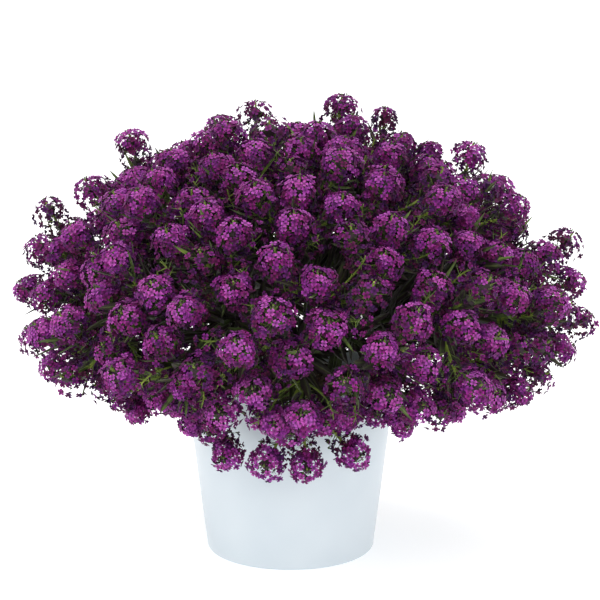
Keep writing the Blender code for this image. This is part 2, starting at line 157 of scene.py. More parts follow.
@dataclass(frozen=True)
class PetalTissue:
    """Sweet alyssum petals: a thin skin of tiny rounded cells.

    The cells give the petals a soft velvet sheen and hardly any gloss. Fresh petals are a clear
    purple, darker towards the flower's heart, and they turn to dark plum as they age.
    """

    name: str = "petal_tissue"
    ages: tuple[tuple[float, str], ...] = ((0.0, "#A6489E"), (0.2, "#801D76"), (0.45, "#590B4C"),
        (0.7, "#3F0530"), (1.0, "#2A0518"))
    heart: float = 0.1  # how far out the flower's heart reaches
    heart_depth: float = 0.22  # how light it is there, next to the petal's mean
    rim_depth: float = 1.25  # and how light at the rim
    chance: float = 0.26  # how much older or younger a floret looks than its neighbours
    speck: float = 0.2  # how much lighter or darker its fine specks are
    warm: str = "#7E1C58"
    cool: str = "#54308F"
    cast: float = 0.2  # how far the petals lean to the warm or the cool side, in patches
    cast_mm: float = 7.0
    mottle_mm: float = 1.4
    roughness: float = 0.62
    ior: float = 1.4
    sheen: float = 0.05
    sheen_roughness: float = 0.5
    gloss: float = 0.16  # the velvet cells scatter what a smooth skin would reflect

    def make(self) -> bpy.types.Material:
        """Builds the material.

        Returns:
            The material.
        """
        material, tree, shader = new_material(self.name)
        tone = add_node(tree, "ShaderNodeAttribute", attribute_name=TONE)
        split = add_node(tree, "ShaderNodeSeparateColor", links={"Color": tone.outputs["Color"]})
        place = add_node(tree, "ShaderNodeNewGeometry")
        mottle = add_node(tree, "ShaderNodeTexNoise", {"Scale": 1000 / self.mottle_mm, "Detail": 2.0},
            {"Vector": place.outputs["Position"]})
        chance = add_node(tree, "ShaderNodeMapRange", {"To Min": -self.chance, "To Max": self.chance},
            {"Value": split.outputs["Green"]})
        age = add_node(tree, "ShaderNodeMath",
            links={0: split.outputs["Red"], 1: chance.outputs["Result"]}, operation="ADD",
            use_clamp=True)
        hue = add_node(tree, "ShaderNodeValToRGB", links={"Fac": age.outputs["Value"]})
        set_stops(hue, self.ages)
        depth = add_node(tree, "ShaderNodeMapRange",
            {"From Min": self.heart, "To Min": self.heart_depth, "To Max": self.rim_depth},
            {"Value": split.outputs["Blue"]})
        speck = add_node(tree, "ShaderNodeMapRange",
            {"From Min": NOISE_LOW, "From Max": NOISE_HIGH, "To Min": 1 - self.speck,
                "To Max": 1 + self.speck},
            {"Value": mottle.outputs["Fac"]})
        patches = add_node(tree, "ShaderNodeTexNoise", {"Scale": 1000 / self.cast_mm, "Detail": 1.0},
            {"Vector": place.outputs["Position"]})
        lean = add_node(tree, "ShaderNodeValToRGB", links={"Fac": patches.outputs["Fac"]})
        set_stops(lean, ((0.38, self.warm), (0.62, self.cool)))
        tinted = add_node(tree, "ShaderNodeMix", {"Factor": self.cast},
            {6: hue.outputs["Color"], 7: lean.outputs["Color"]}, data_type="RGBA")
        shade = add_node(tree, "ShaderNodeMath",
            links={0: depth.outputs["Result"], 1: speck.outputs["Result"]}, operation="MULTIPLY")
        petal = add_node(tree, "ShaderNodeMix", {"Factor": 1.0},
            {6: tinted.outputs[2], 7: shade.outputs["Value"]}, data_type="RGBA", blend_type="MULTIPLY")
        tree.links.new(petal.outputs[2], shader.inputs["Base Color"])
        shader.inputs["Roughness"].default_value = self.roughness
        shader.inputs["IOR"].default_value = self.ior
        shader.inputs["Specular IOR Level"].default_value = self.gloss
        shader.inputs["Sheen Weight"].default_value = self.sheen
        shader.inputs["Sheen Roughness"].default_value = self.sheen_roughness
        return material


@dataclass(frozen=True)
class GreenTissue:
    """Stems, pedicels and narrow leaves: a waxy skin with short flat hairs.

    The hairs give a grey bloom on the leaves' faces. Midribs and young shoots are lighter. The two
    darkest tones, near black and dull plum, are partly old age and partly painted shade, for the
    leaves and head cores deep in the mound.
    """

    name: str = "green_tissue"
    # the two darkest stops are partly old age and partly painted shade, for leaves and cores deep in the
    # mound
    ages: tuple[tuple[float, str], ...] = ((0.0, "#8FA43A"), (0.35, "#4C6224"), (0.7, "#272A13"),
        (1.0, "#261019"))
    midrib: str = "#6F8238"
    rib: float = 0.35  # how clearly the midrib shows, and how far it reaches across the blade
    mottle: float = 0.18  # how much older or younger the blotches look
    mottle_mm: float = 5.0
    roughness: float = 0.55
    ior: float = 1.42
    bloom: float = 0.12

    def make(self) -> bpy.types.Material:
        """Builds the material.

        Returns:
            The material.
        """
        material, tree, shader = new_material(self.name)
        tone = add_node(tree, "ShaderNodeAttribute", attribute_name=TONE)
        split = add_node(tree, "ShaderNodeSeparateColor", links={"Color": tone.outputs["Color"]})
        place = add_node(tree, "ShaderNodeNewGeometry")
        mottle = add_node(tree, "ShaderNodeTexNoise", {"Scale": 1000 / self.mottle_mm, "Detail": 3.0},
            {"Vector": place.outputs["Position"]})
        patch = add_node(tree, "ShaderNodeMapRange",
            {"From Min": NOISE_LOW, "From Max": NOISE_HIGH, "To Min": -self.mottle,
                "To Max": self.mottle},
            {"Value": mottle.outputs["Fac"]})
        age = add_node(tree, "ShaderNodeMath",
            links={0: split.outputs["Red"], 1: patch.outputs["Result"]}, operation="ADD",
            use_clamp=True)
        hue = add_node(tree, "ShaderNodeValToRGB", links={"Fac": age.outputs["Value"]})
        set_stops(hue, self.ages)
        rib = add_node(tree, "ShaderNodeMapRange",
            {"From Min": 0.0, "From Max": self.rib, "To Min": self.rib, "To Max": 0.0},
            {"Value": split.outputs["Blue"]})
        colour = add_node(tree, "ShaderNodeMix", {7: linear(self.midrib)},
            {"Factor": rib.outputs["Result"], 6: hue.outputs["Color"]}, data_type="RGBA")
        tree.links.new(colour.outputs[2], shader.inputs["Base Color"])
        shader.inputs["Roughness"].default_value = self.roughness
        shader.inputs["IOR"].default_value = self.ior
        shader.inputs["Sheen Weight"].default_value = self.bloom
        return material


@dataclass(frozen=True)
class MouldedPolypropylene:
    """Injection-moulded white polypropylene.

    The polished mould leaves a soft even sheen with a very faint orange peel.
    """

    name: str = "moulded_polypropylene"
    light: str = "#D0D9DF"
    cool: str = "#C9D3DA"
    peel_mm: float = 1.8
    peel: float = 0.06  # how strongly the orange peel shows
    peel_height: float = 0.0002
    cloud_mm: float = 60.0
    least_roughness: float = 0.30
    most_roughness: float = 0.40
    ior: float = 1.49

    def make(self) -> bpy.types.Material:
        """Builds the material.

        Returns:
            The material.
        """
        material, tree, shader = new_material(self.name)
        place = add_node(tree, "ShaderNodeNewGeometry")
        cloud = add_node(tree, "ShaderNodeTexNoise", {"Scale": 1000 / self.cloud_mm, "Detail": 2.0},
            {"Vector": place.outputs["Position"]})
        hue = add_node(tree, "ShaderNodeValToRGB", links={"Fac": cloud.outputs["Fac"]})
        set_stops(hue, ((0.35, self.cool), (0.65, self.light)))
        peel = add_node(tree, "ShaderNodeTexNoise", {"Scale": 1000 / self.peel_mm, "Detail": 1.0},
            {"Vector": place.outputs["Position"]})
        bump = add_node(tree, "ShaderNodeBump", {"Strength": self.peel, "Distance": self.peel_height},
            {"Height": peel.outputs["Fac"]})
        rough = add_node(tree, "ShaderNodeMapRange",
            {"To Min": self.least_roughness, "To Max": self.most_roughness},
            {"Value": cloud.outputs["Fac"]})
        tree.links.new(hue.outputs["Color"], shader.inputs["Base Color"])
        tree.links.new(rough.outputs["Result"], shader.inputs["Roughness"])
        tree.links.new(bump.outputs["Normal"], shader.inputs["Normal"])
        shader.inputs["IOR"].default_value = self.ior
        return material


@dataclass(frozen=True)
class PottingSoil:
    """Damp peat-based potting soil: dark crumbs with lighter fibre and a few pale grains."""

    name: str = "potting_soil"
    dark: str = "#1C120B"
    mid: str = "#3A281A"
    light: str = "#6B5238"
    pale: str = "#CFC8BA"
    crumb_mm: float = 2.2
    crumb_height: float = 0.001
    relief: float = 0.7  # how strongly the crumbs show
    roughness: float = 0.93

    def make(self) -> bpy.types.Material:
        """Builds the material.

        Returns:
            The material.
        """
        material, tree, shader = new_material(self.name)
        tone = add_node(tree, "ShaderNodeAttribute", attribute_name=TONE)
        place = add_node(tree, "ShaderNodeNewGeometry")
        crumb = add_node(tree, "ShaderNodeTexNoise",
            {"Scale": 1000 / self.crumb_mm, "Detail": 6.0, "Roughness": 0.7},
            {"Vector": place.outputs["Position"]})
        hue = add_node(tree, "ShaderNodeValToRGB", links={"Fac": crumb.outputs["Fac"]})
        set_stops(hue, ((0.3, self.dark), (0.5, self.mid), (0.72, self.light)))
        colour = add_node(tree, "ShaderNodeMix", {7: linear(self.pale)},
            {"Factor": tone.outputs["Alpha"], 6: hue.outputs["Color"]}, data_type="RGBA")
        bump = add_node(tree, "ShaderNodeBump", {"Strength": self.relief, "Distance": self.crumb_height},
            {"Height": crumb.outputs["Fac"]})
        tree.links.new(colour.outputs[2], shader.inputs["Base Color"])
        tree.links.new(bump.outputs["Normal"], shader.inputs["Normal"])
        shader.inputs["Roughness"].default_value = self.roughness
        return material


@dataclass(frozen=True)
class StudioPaper:
    """The floor: a plain sheet of pale paper on a light table, which glows faintly through it."""

    name: str = "studio_paper"
    colour: str = "#F2F3F4"
    glow: float = 0.38
    roughness: float = 0.9
    gloss: float = 0.1

    def make(self) -> bpy.types.Material:
        """Builds the material.

        Returns:
            The material.
        """
        material, _, shader = new_material(self.name)
        shader.inputs["Base Color"].default_value = linear(self.colour)
        shader.inputs["Roughness"].default_value = self.roughness
        shader.inputs["Specular IOR Level"].default_value = self.gloss
        shader.inputs["Emission Color"].default_value = linear("#FFFFFF")
        shader.inputs["Emission Strength"].default_value = self.glow
        return material


def aged(age: float, count: int, dice: Generator) -> np.ndarray:
    """Tones of one age, each with its own chance."""
    return np.stack([np.full(count, age), dice.random(count)], 1)


def ring_faces(levels: int, corners: int) -> list[tuple[int, int, int]]:
    """Faces from each ring of points to the next, for rings that are stacked one by one.

    Args:
        levels: How many rings there are.
        corners: How many points each has.

    Returns:
        The faces, as numbers of their points.
    """
    faces = []
    for level in range(levels - 1):
        for corner in range(corners):
            a = level * corners + corner
            b = level * corners + (corner + 1) % corners
            faces += [(a, b, b + corners), (a, b + corners, a + corners)]
    return faces


def capped_faces(levels: int, corners: int) -> np.ndarray:
    """The faces of a closed stack of rings.

    Args:
        levels: How many rings there are.
        corners: How many points each has.

    Returns:
        The faces. After the rings come two points: the last ring's middle and the first one's.
    """
    last, end = (levels - 1) * corners, levels * corners
    caps = []
    for i in range(corners):
        j = (i + 1) % corners
        caps += [(last + i, last + j, end), (end + 1, j, i)]
    return np.array(ring_faces(levels, corners) + caps)


def circle(corners: int) -> tuple[np.ndarray, np.ndarray]:
    """The cosines and sines of a full turn in equal steps."""
    angles = 2 * math.pi * np.arange(corners) / corners
    return np.cos(angles), np.sin(angles)


def unit(vectors: np.ndarray) -> np.ndarray:
    """The vectors at a length of one."""
    return vectors / np.maximum(np.linalg.norm(vectors, axis=-1, keepdims=True), 1e-12)


def facing(normals: np.ndarray, spins: np.ndarray) -> np.ndarray:
    """Frames whose third axis is the normal, turned about it.

    Args:
        normals: One direction a row.
        spins: One angle a row.

    Returns:
        A stack of matrices whose rows are the three axes.
    """
    reference = np.where(np.abs(normals[:, 2:]) < 0.9, UPRIGHT, SIDEWAYS)
    first = unit(np.cross(reference, normals))
    second = np.cross(normals, first)
    cos, sin = np.cos(spins)[:, None], np.sin(spins)[:, None]
    return np.stack([first * cos + second * sin, second * cos - first * sin, normals], axis=1)


@dataclass(frozen=True)
class Stamp:
    """A small closed mesh of size one that is set down many times."""

    points: np.ndarray
    faces: np.ndarray
    across: np.ndarray  # from 0 at the heart to 1 at the rim, for each point

    @classmethod
    def floret(cls, petal: Sequence[Triple], top: float, foot: float) -> Stamp:
        """An open flower of four petals on a short funnel.

        Args:
            petal: Degrees from the petal's middle, radius and height of its outline's points. The
                last one is the notch to the next petal.
            top: The height of the petals' meeting point.
            foot: How far the funnel reaches down.

        Returns:
            The stamp.
        """
        outline = []
        for turn in range(4):
            for degrees, radius, height in petal:
                angle = math.radians(degrees) + turn * math.pi / 2
                outline.append((radius * math.cos(angle), radius * math.sin(angle), height))
        count = len(outline)
        points = [*outline, (0.0, 0.0, top), (0.0, 0.0, -foot)]
        around = [(i, (i + 1) % count) for i in range(count)]
        faces = [(count, a, b) for a, b in around] + [(count + 1, b, a) for a, b in around]
        across = [math.hypot(x, y) for x, y, _ in outline] + [0.0, 0.4]
        return cls(np.array(points), np.array(faces), np.array(across))

    @classmethod
    def grain(cls, sides: int, shoulder: float) -> Stamp:
        """A pointed oval: a bud, a pod or a crumb.

        Args:
            sides: How many sides it has.
            shoulder: The height of its widest place, between -1 and 1.

        Returns:
            The stamp.
        """
        angles = [2 * math.pi * i / sides for i in range(sides)]
        points = [(math.cos(a), math.sin(a), shoulder) for a in angles]
        points += [(0.0, 0.0, 1.0), (0.0, 0.0, -1.0)]
        around = [(i, (i + 1) % sides) for i in range(sides)]
        faces = [(a, b, sides) for a, b in around] + [(b, a, sides + 1) for a, b in around]
        across = [0.6] * sides + [1.0, 0.2]
        return cls(np.array(points), np.array(faces), np.array(across))


class Batch:
    """The points, faces and tones of one piece, gathered before its mesh is made."""

    def __init__(self) -> None:
        """Starts an empty batch."""
        self.points: list[np.ndarray] = []
        self.faces: list[np.ndarray] = []
        self.tones: list[np.ndarray] = []
        self.count = 0

    def add(self, points: np.ndarray, faces: np.ndarray, tones: np.ndarray) -> None:
        """Adds a mesh.

        Args:
            points: Its points.
            faces: Its faces, which number the points from 0.
            tones: The age, chance, place across and shade of each point.
        """
        self.points.append(points)
        self.faces.append(faces + self.count)
        self.tones.append(tones)
        self.count += len(points)

    def stamp(self, stamp: Stamp, places: np.ndarray, frames: np.ndarray, sizes: np.ndarray,
            tones: np.ndarray, shade: Shade = Shade.PALE) -> None:
        """Sets a stamp down many times.

        Args:
            stamp: The small mesh.
            places: Where each copy is.
            frames: Each copy's axes.
            sizes: Each copy's size along its three axes.
            tones: Each copy's age and chance.
            shade: How pale the copies are.
        """
        copies, count = len(places), len(stamp.points)
        local = stamp.points[None] * sizes[:, None]
        world = np.einsum("kni,kij->knj", local, frames) + places[:, None]
        faces = stamp.faces[None] + (np.arange(copies) * count)[:, None, None]
        colours = np.empty((copies, count, 4))
        colours[..., :2] = tones[:, None]
        colours[..., 2] = stamp.across
        colours[..., 3] = shade.value
        self.add(world.reshape(-1, 3), faces.reshape(-1, 3), colours.reshape(-1, 4))

    def loft(self, rings: np.ndarray, across: np.ndarray, tones: np.ndarray,
            tips: np.ndarray | None = None) -> None:
        """Adds closed solids through rings of points.

        Args:
            rings: Solid, ring, corner, and three coordinates.
            across: The place across of each corner of a ring.
            tones: Each solid's age and chance.
            tips: The point that ends each solid, or None for a flat end.
        """
        copies, levels, corners = rings.shape[:3]
        points = rings.reshape(copies, -1, 3)
        faces = ring_faces(levels, corners)
        faces += [(0, i + 1, i) for i in range(1, corners - 1)]
        last = (levels - 1) * corners
        sides = np.tile(across, levels)
        if tips is None:
            faces += [(last, last + i, last + i + 1) for i in range(1, corners - 1)]
        else:
            points = np.concatenate([points, tips[:, None]], axis=1)
            end = levels * corners
            faces += [(last + i, last + (i + 1) % corners, end) for i in range(corners)]
            sides = np.append(sides, 0.5)
        count = points.shape[1]
        numbered = np.array(faces)[None] + (np.arange(copies) * count)[:, None, None]
        colours = np.ones((copies, count, 4))
        colours[..., :2] = tones[:, None]
        colours[..., 2] = sides
        self.add(points.reshape(-1, 3), numbered.reshape(-1, 3), colours.reshape(-1, 4))

    def tubes(self, paths: np.ndarray, radii: np.ndarray, corners: int, tones: np.ndarray) -> None:
        """Adds round tubes along paths.

        Args:
            paths: Tube, point, and three coordinates.
            radii: Each tube's radius at each point.
            corners: How many corners the tubes have.
            tones: Each tube's age and chance.
        """
        along = unit(np.gradient(paths, axis=1))
        whole = unit(paths[:, -1] - paths[:, 0])
        reference = np.where(np.abs(whole[:, 2:]) < 0.8, UPRIGHT, SIDEWAYS)[:, None]
        first = unit(np.cross(along, np.broadcast_to(reference, along.shape)))
        second = np.cross(along, first)
        cos, sin = circle(corners)
        spokes = first[:, :, None] * cos[:, None] + second[:, :, None] * sin[:, None]
        rings = paths[:, :, None] + spokes * radii[:, :, None, None]
        self.loft(rings, np.full(corners, STEM_ACROSS), tones)

    def piece(self, name: str, material: bpy.types.Material, sharp: float) -> bpy.types.Object:
        """Makes the mesh.

        Args:
            name: The piece's name.
            material: Its material.
            sharp: Edges that bend more than this many degrees stay sharp.

        Returns:
            The piece.
        """
        mesh = bpy.data.meshes.new(name)
        points, faces = np.concatenate(self.points), np.concatenate(self.faces)
        mesh.from_pydata(points.tolist(), [], faces.tolist())
        layer = mesh.color_attributes.new(TONE, "FLOAT_COLOR", "POINT")
        layer.data.foreach_set("color", np.concatenate(self.tones).ravel())
        mesh.shade_smooth()
        mesh.set_sharp_from_angle(angle=math.radians(sharp))
        mesh.materials.append(material)
        obj = bpy.data.objects.new(name, mesh)
        bpy.context.scene.collection.objects.link(obj)
        LOG.info("%s: %d triangles", name, len(faces))
        return obj


class Bend:
    """A smooth bend from start to end that arrives along a direction."""

    def __init__(self, start: Vector, end: Vector, arrival: Vector, share: float) -> None:
        """Works out the bend.

        Args:
            start: Where it starts.
            end: Where it ends.
            arrival: The direction in which it ends.
            share: How early it turns to that direction, as a share of its span.
        """
        self.start = start
        self.middle = end - arrival * ((end - start).length * share)
        self.end = end
        self.side = (self.middle - start).cross(end - self.middle)
        if self.side.length < 1e-7:
            self.side = arrival.orthogonal()
        self.side.normalize()
        places = [self.point(i / 8) for i in range(9)]
        self.length = sum((b - a).length for a, b in zip(places, places[1:]))

    def point(self, t: float) -> Vector:
        """The place at a share of the way."""
        return self.start * (1 - t) ** 2 + self.middle * (2 * t * (1 - t)) + self.end * t**2

    def direction(self, t: float) -> Vector:
        """The direction at a share of the way."""
        return ((self.middle - self.start) * (1 - t) + (self.end - self.middle) * t).normalized()

    def samples(self, step: float) -> list[Vector]:
        """Points along the bend, about a step apart."""
        count = max(2, round(self.length / step))
        return [self.point(i / count) for i in range(count + 1)]

    def frames(self, t: np.ndarray) -> tuple[np.ndarray, np.ndarray, np.ndarray, np.ndarray]:
        """Many places at once.

        Args:
            t: Shares of the way.

        Returns:
            Points, directions, and the two directions across the bend.
        """
        start, middle, end = (np.array(p) for p in (self.start, self.middle, self.end))
        t = np.clip(t, 0.0, 1.0)[:, None]
        points = start * (1 - t) ** 2 + middle * (2 * t * (1 - t)) + end * t**2
        along = unit((middle - start) * (1 - t) + (end - middle) * t)
        side = np.broadcast_to(np.array(self.side), along.shape)
        return points, along, side, np.cross(along, side)


Leaf = tuple[Bend, float, float]  # its middle line, width and age


@dataclass(frozen=True)
class Shell:
    """A rounded shell with its own half sizes up and down."""

    middle: Triple
    across: float
    deep: float
    up: float
    down: float

    def offset(self, azimuth: float, latitude: float) -> Vector:
        """A place on the shell, from its middle.

        Args:
            azimuth: The angle round the shell. 0 faces the front.
            latitude: The angle above its widest ring.

        Returns:
            The place.
        """
        flat = math.cos(latitude)
        height = (self.up if latitude > 0 else self.down) * math.sin(latitude)
        return Vector((self.across * flat * math.sin(azimuth), -self.deep * flat * math.cos(azimuth),
            height))

    def point(self, azimuth: float, latitude: float, reach: float = 1.0) -> Vector:
        """A place on the shell, or at a share of the way to it."""
        return Vector(self.middle) + self.offset(azimuth, latitude) * reach

    def even_directions(self, count: int, lowest: float) -> list[Pair]:
        """Directions that spread points evenly, along a golden-angle spiral.

        Args:
            count: How many points.
            lowest: The lowest latitude.

        Returns:
            Azimuths and latitudes.
        """
        latitudes = np.linspace(lowest, math.pi / 2, 400)
        flat = (self.across + self.deep) / 2
        height = np.where(latitudes > 0, self.up, self.down)
        belt = np.cos(latitudes) * np.hypot(flat * np.sin(latitudes), height * np.cos(latitudes))
        covered = np.cumsum(belt) / belt.sum()
        shares = (np.arange(count) + 0.5) / count
        return [(i * GOLDEN_ANGLE, float(latitude)) for i,
            latitude in enumerate(np.interp(shares, covered, latitudes))]


@dataclass(frozen=True)
class Spray:
    """Racemes that fork from one point: each is a bend and its head's radius."""

    fork: Vector
    lean: Vector
    racemes: list[tuple[Bend, float]]


@dataclass(frozen=True)
class Mound:
    """Where the flower heads are, from the solids' own sizes and seeds."""

    shell: Shell = Shell((0.007, 0.0, 0.165), 0.188, 0.180, 0.137, 0.071)
    fork_shell: Shell = Shell((0.007, 0.0, 0.165), 0.137, 0.130, 0.088, 0.034)
    lowest: float = math.radians(-51)
    fork_lowest: float = math.radians(-32)
    view_tilt: float = math.radians(13)
    outline: tuple[tuple[int, float], ...] = ((0, 1.05), (11, 1.03), (22, 1.07), (31, 0.92), (42, 1.00),
        (53, 1.05), (60, 0.97), (67, 0.96), (73, 1.06), (82, 1.09), (91, 0.94), (99, 1.06), (107, 1.02),
        (117, 0.95), (125, 1.10), (140, 1.03), (149, 1.09), (159, 1.04), (171, 1.03), (187, 1.00),
        (203, 1.00), (219, 0.94), (233, 1.00), (246, 1.00), (257, 1.20), (264, 1.24), (271, 1.26),
        (280, 1.18), (292, 1.00), (305, 0.97), (318, 0.98), (331, 1.01), (346, 1.00))
    spread_count: int = 224
    seed: int = 12
    jitter: float = 0.004
    reach: Pair = (0.87, 1.01)
    push: float = 0.045
    push_steps: int = 80
    push_strength: float = 0.2
    head_radius: Pair = (0.0122, 0.0148)
    least_head: float = 0.0095
    head_rings: tuple[Pair, ...] = ((0.14, 0.64), (0.72, 1.00), (2.45, 0.66))
    low_rise: float = math.radians(6)
    rise_power: float = 0.65
    sprays: int = 44
    fork_length: float = 0.0050
    rachis_start: float = 0.0012
    raceme_turn: float = 0.5  # how early it turns up, as a share of its span

    def outline_direction(self, angle: float) -> Pair:
        """The direction of a place on the outline that the camera sees.

        Args:
            angle: The angle round the outline.

        Returns:
            Its azimuth and latitude.
        """
        height = self.shell.up if math.sin(angle) > 0 else self.shell.down
        deep = self.shell.deep * math.sin(self.view_tilt)
        lean = math.atan2(deep, height * math.cos(self.view_tilt))
        across, up = math.cos(angle), math.sin(angle)
        place = Vector((across, up * math.sin(lean), up * math.cos(lean)))
        return math.atan2(place.x, -place.y), math.asin(max(-1.0, min(1.0, place.z)))

    def rise(self, azimuth: float, latitude: float) -> Vector:
        """A raceme's growth direction: outwards low on the mound, and upright on its top.

        Args:
            azimuth: The azimuth of its tip.
            latitude: The latitude of its tip.

        Returns:
            The direction.
        """
        share = (latitude - self.lowest) / (math.pi / 2 - self.lowest)
        angle = self.low_rise + (math.pi / 2 - self.low_rise) * max(0.0, share) ** self.rise_power
        flat = math.cos(angle)
        return Vector((flat * math.sin(azimuth), -flat * math.cos(azimuth), math.sin(angle)))

    def spread_directions(self, fixed: list[Vector]) -> list[Pair]:
        """Directions that fill the mound evenly between fixed tips.

        Args:
            fixed: The tips on the outline.

        Returns:
            Azimuths and latitudes.
        """
        shell = self.shell
        start = shell.even_directions(self.spread_count, self.lowest)
        free = np.array([shell.offset(*direction) for direction in start])
        held = np.array([tip - Vector(shell.middle) for tip in fixed])
        lowest = math.sin(self.lowest)
        for _ in range(self.push_steps):
            others = np.vstack([free, held])
            away = free[:, None] - others[None]
            apart = np.linalg.norm(away, axis=2) + 1e-9
            push = np.clip(self.push - apart, 0, None) / apart
            free = free + (away * push[:, :, None]).sum(axis=1) * self.push_strength
            height = np.where(free[:, 2] > 0, shell.up, shell.down)
            across, deep = np.full(len(free), shell.across), np.full(len(free), shell.deep)
            sizes = np.stack([across, deep, height], 1)
            places = free / sizes
            places /= np.linalg.norm(places, axis=1)[:, None]
            low = places[:, 2] < lowest
            flat = np.hypot(places[low, 0], places[low, 1])
            places[low, :2] *= (math.cos(self.lowest) / flat)[:, None]
            places[low, 2] = lowest
            free = places * sizes
        return [(math.atan2(x, -y), math.asin(min(1.0, z))) for x, y, z in places]

    def tips(self) -> list[tuple[Vector, Vector, float]]:
        """Sets out every raceme.

        Returns:
            Each raceme's tip, growth direction and head radius.
        """
        draw = random.Random(self.seed)
        tips = []
        for degrees, reach in self.outline:
            azimuth, latitude = self.outline_direction(math.radians(degrees))
            tip = self.shell.point(azimuth, latitude, reach)
            tips.append((tip, self.rise(azimuth, latitude), draw.uniform(*self.head_radius)))
        for azimuth, latitude in self.spread_directions([tip for tip, _, _ in tips]):
            shift = Vector([draw.uniform(-self.jitter, self.jitter) for _ in range(3)])
            reach, radius = draw.uniform(*self.reach), draw.uniform(*self.head_radius)
            tip = self.shell.point(azimuth, latitude, reach) + shift
            tips.append((tip, self.rise(azimuth, latitude), radius))
        return tips

    def plan(self) -> list[Spray]:
        """Gathers the racemes in sprays.

        Returns:
            Every spray, with heads that clear each other.
        """
        directions = self.fork_shell.even_directions(self.sprays, self.fork_lowest)
        forks = [self.fork_shell.point(azimuth, latitude) for azimuth, latitude in directions]
        groups: list[list[tuple[Vector, Vector, float]]] = [[] for _ in forks]
        for tip, growth, radius in self.tips():
            groups[nearest(forks, tip)].append((tip, growth, radius))
        sprays = []
        for fork, members in zip(forks, groups):
            lean = sum(((tip - fork).normalized() for tip, _, _ in members), Vector())
            lean.normalize()
            middle = fork + lean * (self.fork_length / 2)
            racemes = []
            for tip, growth, radius in members:
                start = middle + (tip - middle).normalized() * self.rachis_start
                racemes.append((Bend(start, tip, growth, self.raceme_turn), radius))
            sprays.append(Spray(fork, lean, racemes))
        return self.with_room(sprays)

    def with_room(self, sprays: list[Spray]) -> list[Spray]:
        """Narrows the heads that would meet another head.

        Args:
            sprays: The sprays with heads of their full size.

        Returns:
            The same sprays with the narrowed heads.
        """
        racemes = [(owner, *raceme) for owner, spray in enumerate(sprays) for raceme in spray.racemes]
        places, widths, numbers, owners, low = [], [], [], [], []
        for number, (owner, bend, radius) in enumerate(racemes):
            for below, width in self.head_rings:
                places.append(bend.point(1 - below * radius / bend.length))
                widths.append(width * radius)
                numbers.append(number)
                owners.append(owner)
                low.append(below > 1)
        places, widths, numbers = np.array(places), np.array(widths), np.array(numbers)
        owners, low = np.array(owners), np.array(low)
        apart = np.linalg.norm(places[:, None] - places[None], axis=2)
        share = (apart - 2 * TOUCH_GAP) / (widths[:, None] + widths[None])
        share[numbers[:, None] == numbers[None]] = 1.0
        share[(owners[:, None] == owners[None]) & (low[:, None] | low[None])] = 1.0
        shares = np.minimum(1.0, share.min(axis=1))
        narrowed = [Spray(spray.fork, spray.lean, []) for spray in sprays]
        for number, (owner, bend, radius) in enumerate(racemes):
            least = float(shares[numbers == number].min())
            narrowed[owner].racemes.append((bend, max(self.least_head, radius * least)))
        return narrowed


def nearest(places: Sequence[Vector], point: Vector) -> int:
    """The number of the place that is nearest to a point."""
    return min(range(len(places)), key=lambda i: (places[i] - point).length)


@dataclass(frozen=True)
class Growth:
    """A raceme that is being built: where its parts go, its middle line and its own draws."""

    florets: Batch
    greens: Batch
    kinds: dict[Flower, Stamp]
    bend: Bend
    radius: float
    dice: Generator

    def share(self, below: np.ndarray) -> np.ndarray:
        """The shares of the bend at distances below its tip, in head radii."""
        return 1 - below * self.radius / self.bend.length

    def places(self, below: np.ndarray, width: np.ndarray, turns: np.ndarray
            ) -> tuple[np.ndarray, np.ndarray, np.ndarray]:
        """Places round the bend.

        Args:
            below: How far each is below the tip, in head radii.
            width: How far out each is, in head radii.
            turns: The angle of each round the bend.

        Returns:
            The places, and the directions outwards and along the bend.
        """
        points, along, side, across = self.bend.frames(self.share(below))
        out = side * np.cos(turns)[:, None] + across * np.sin(turns)[:, None]
        return points + out * (width * self.radius)[:, None], out, along


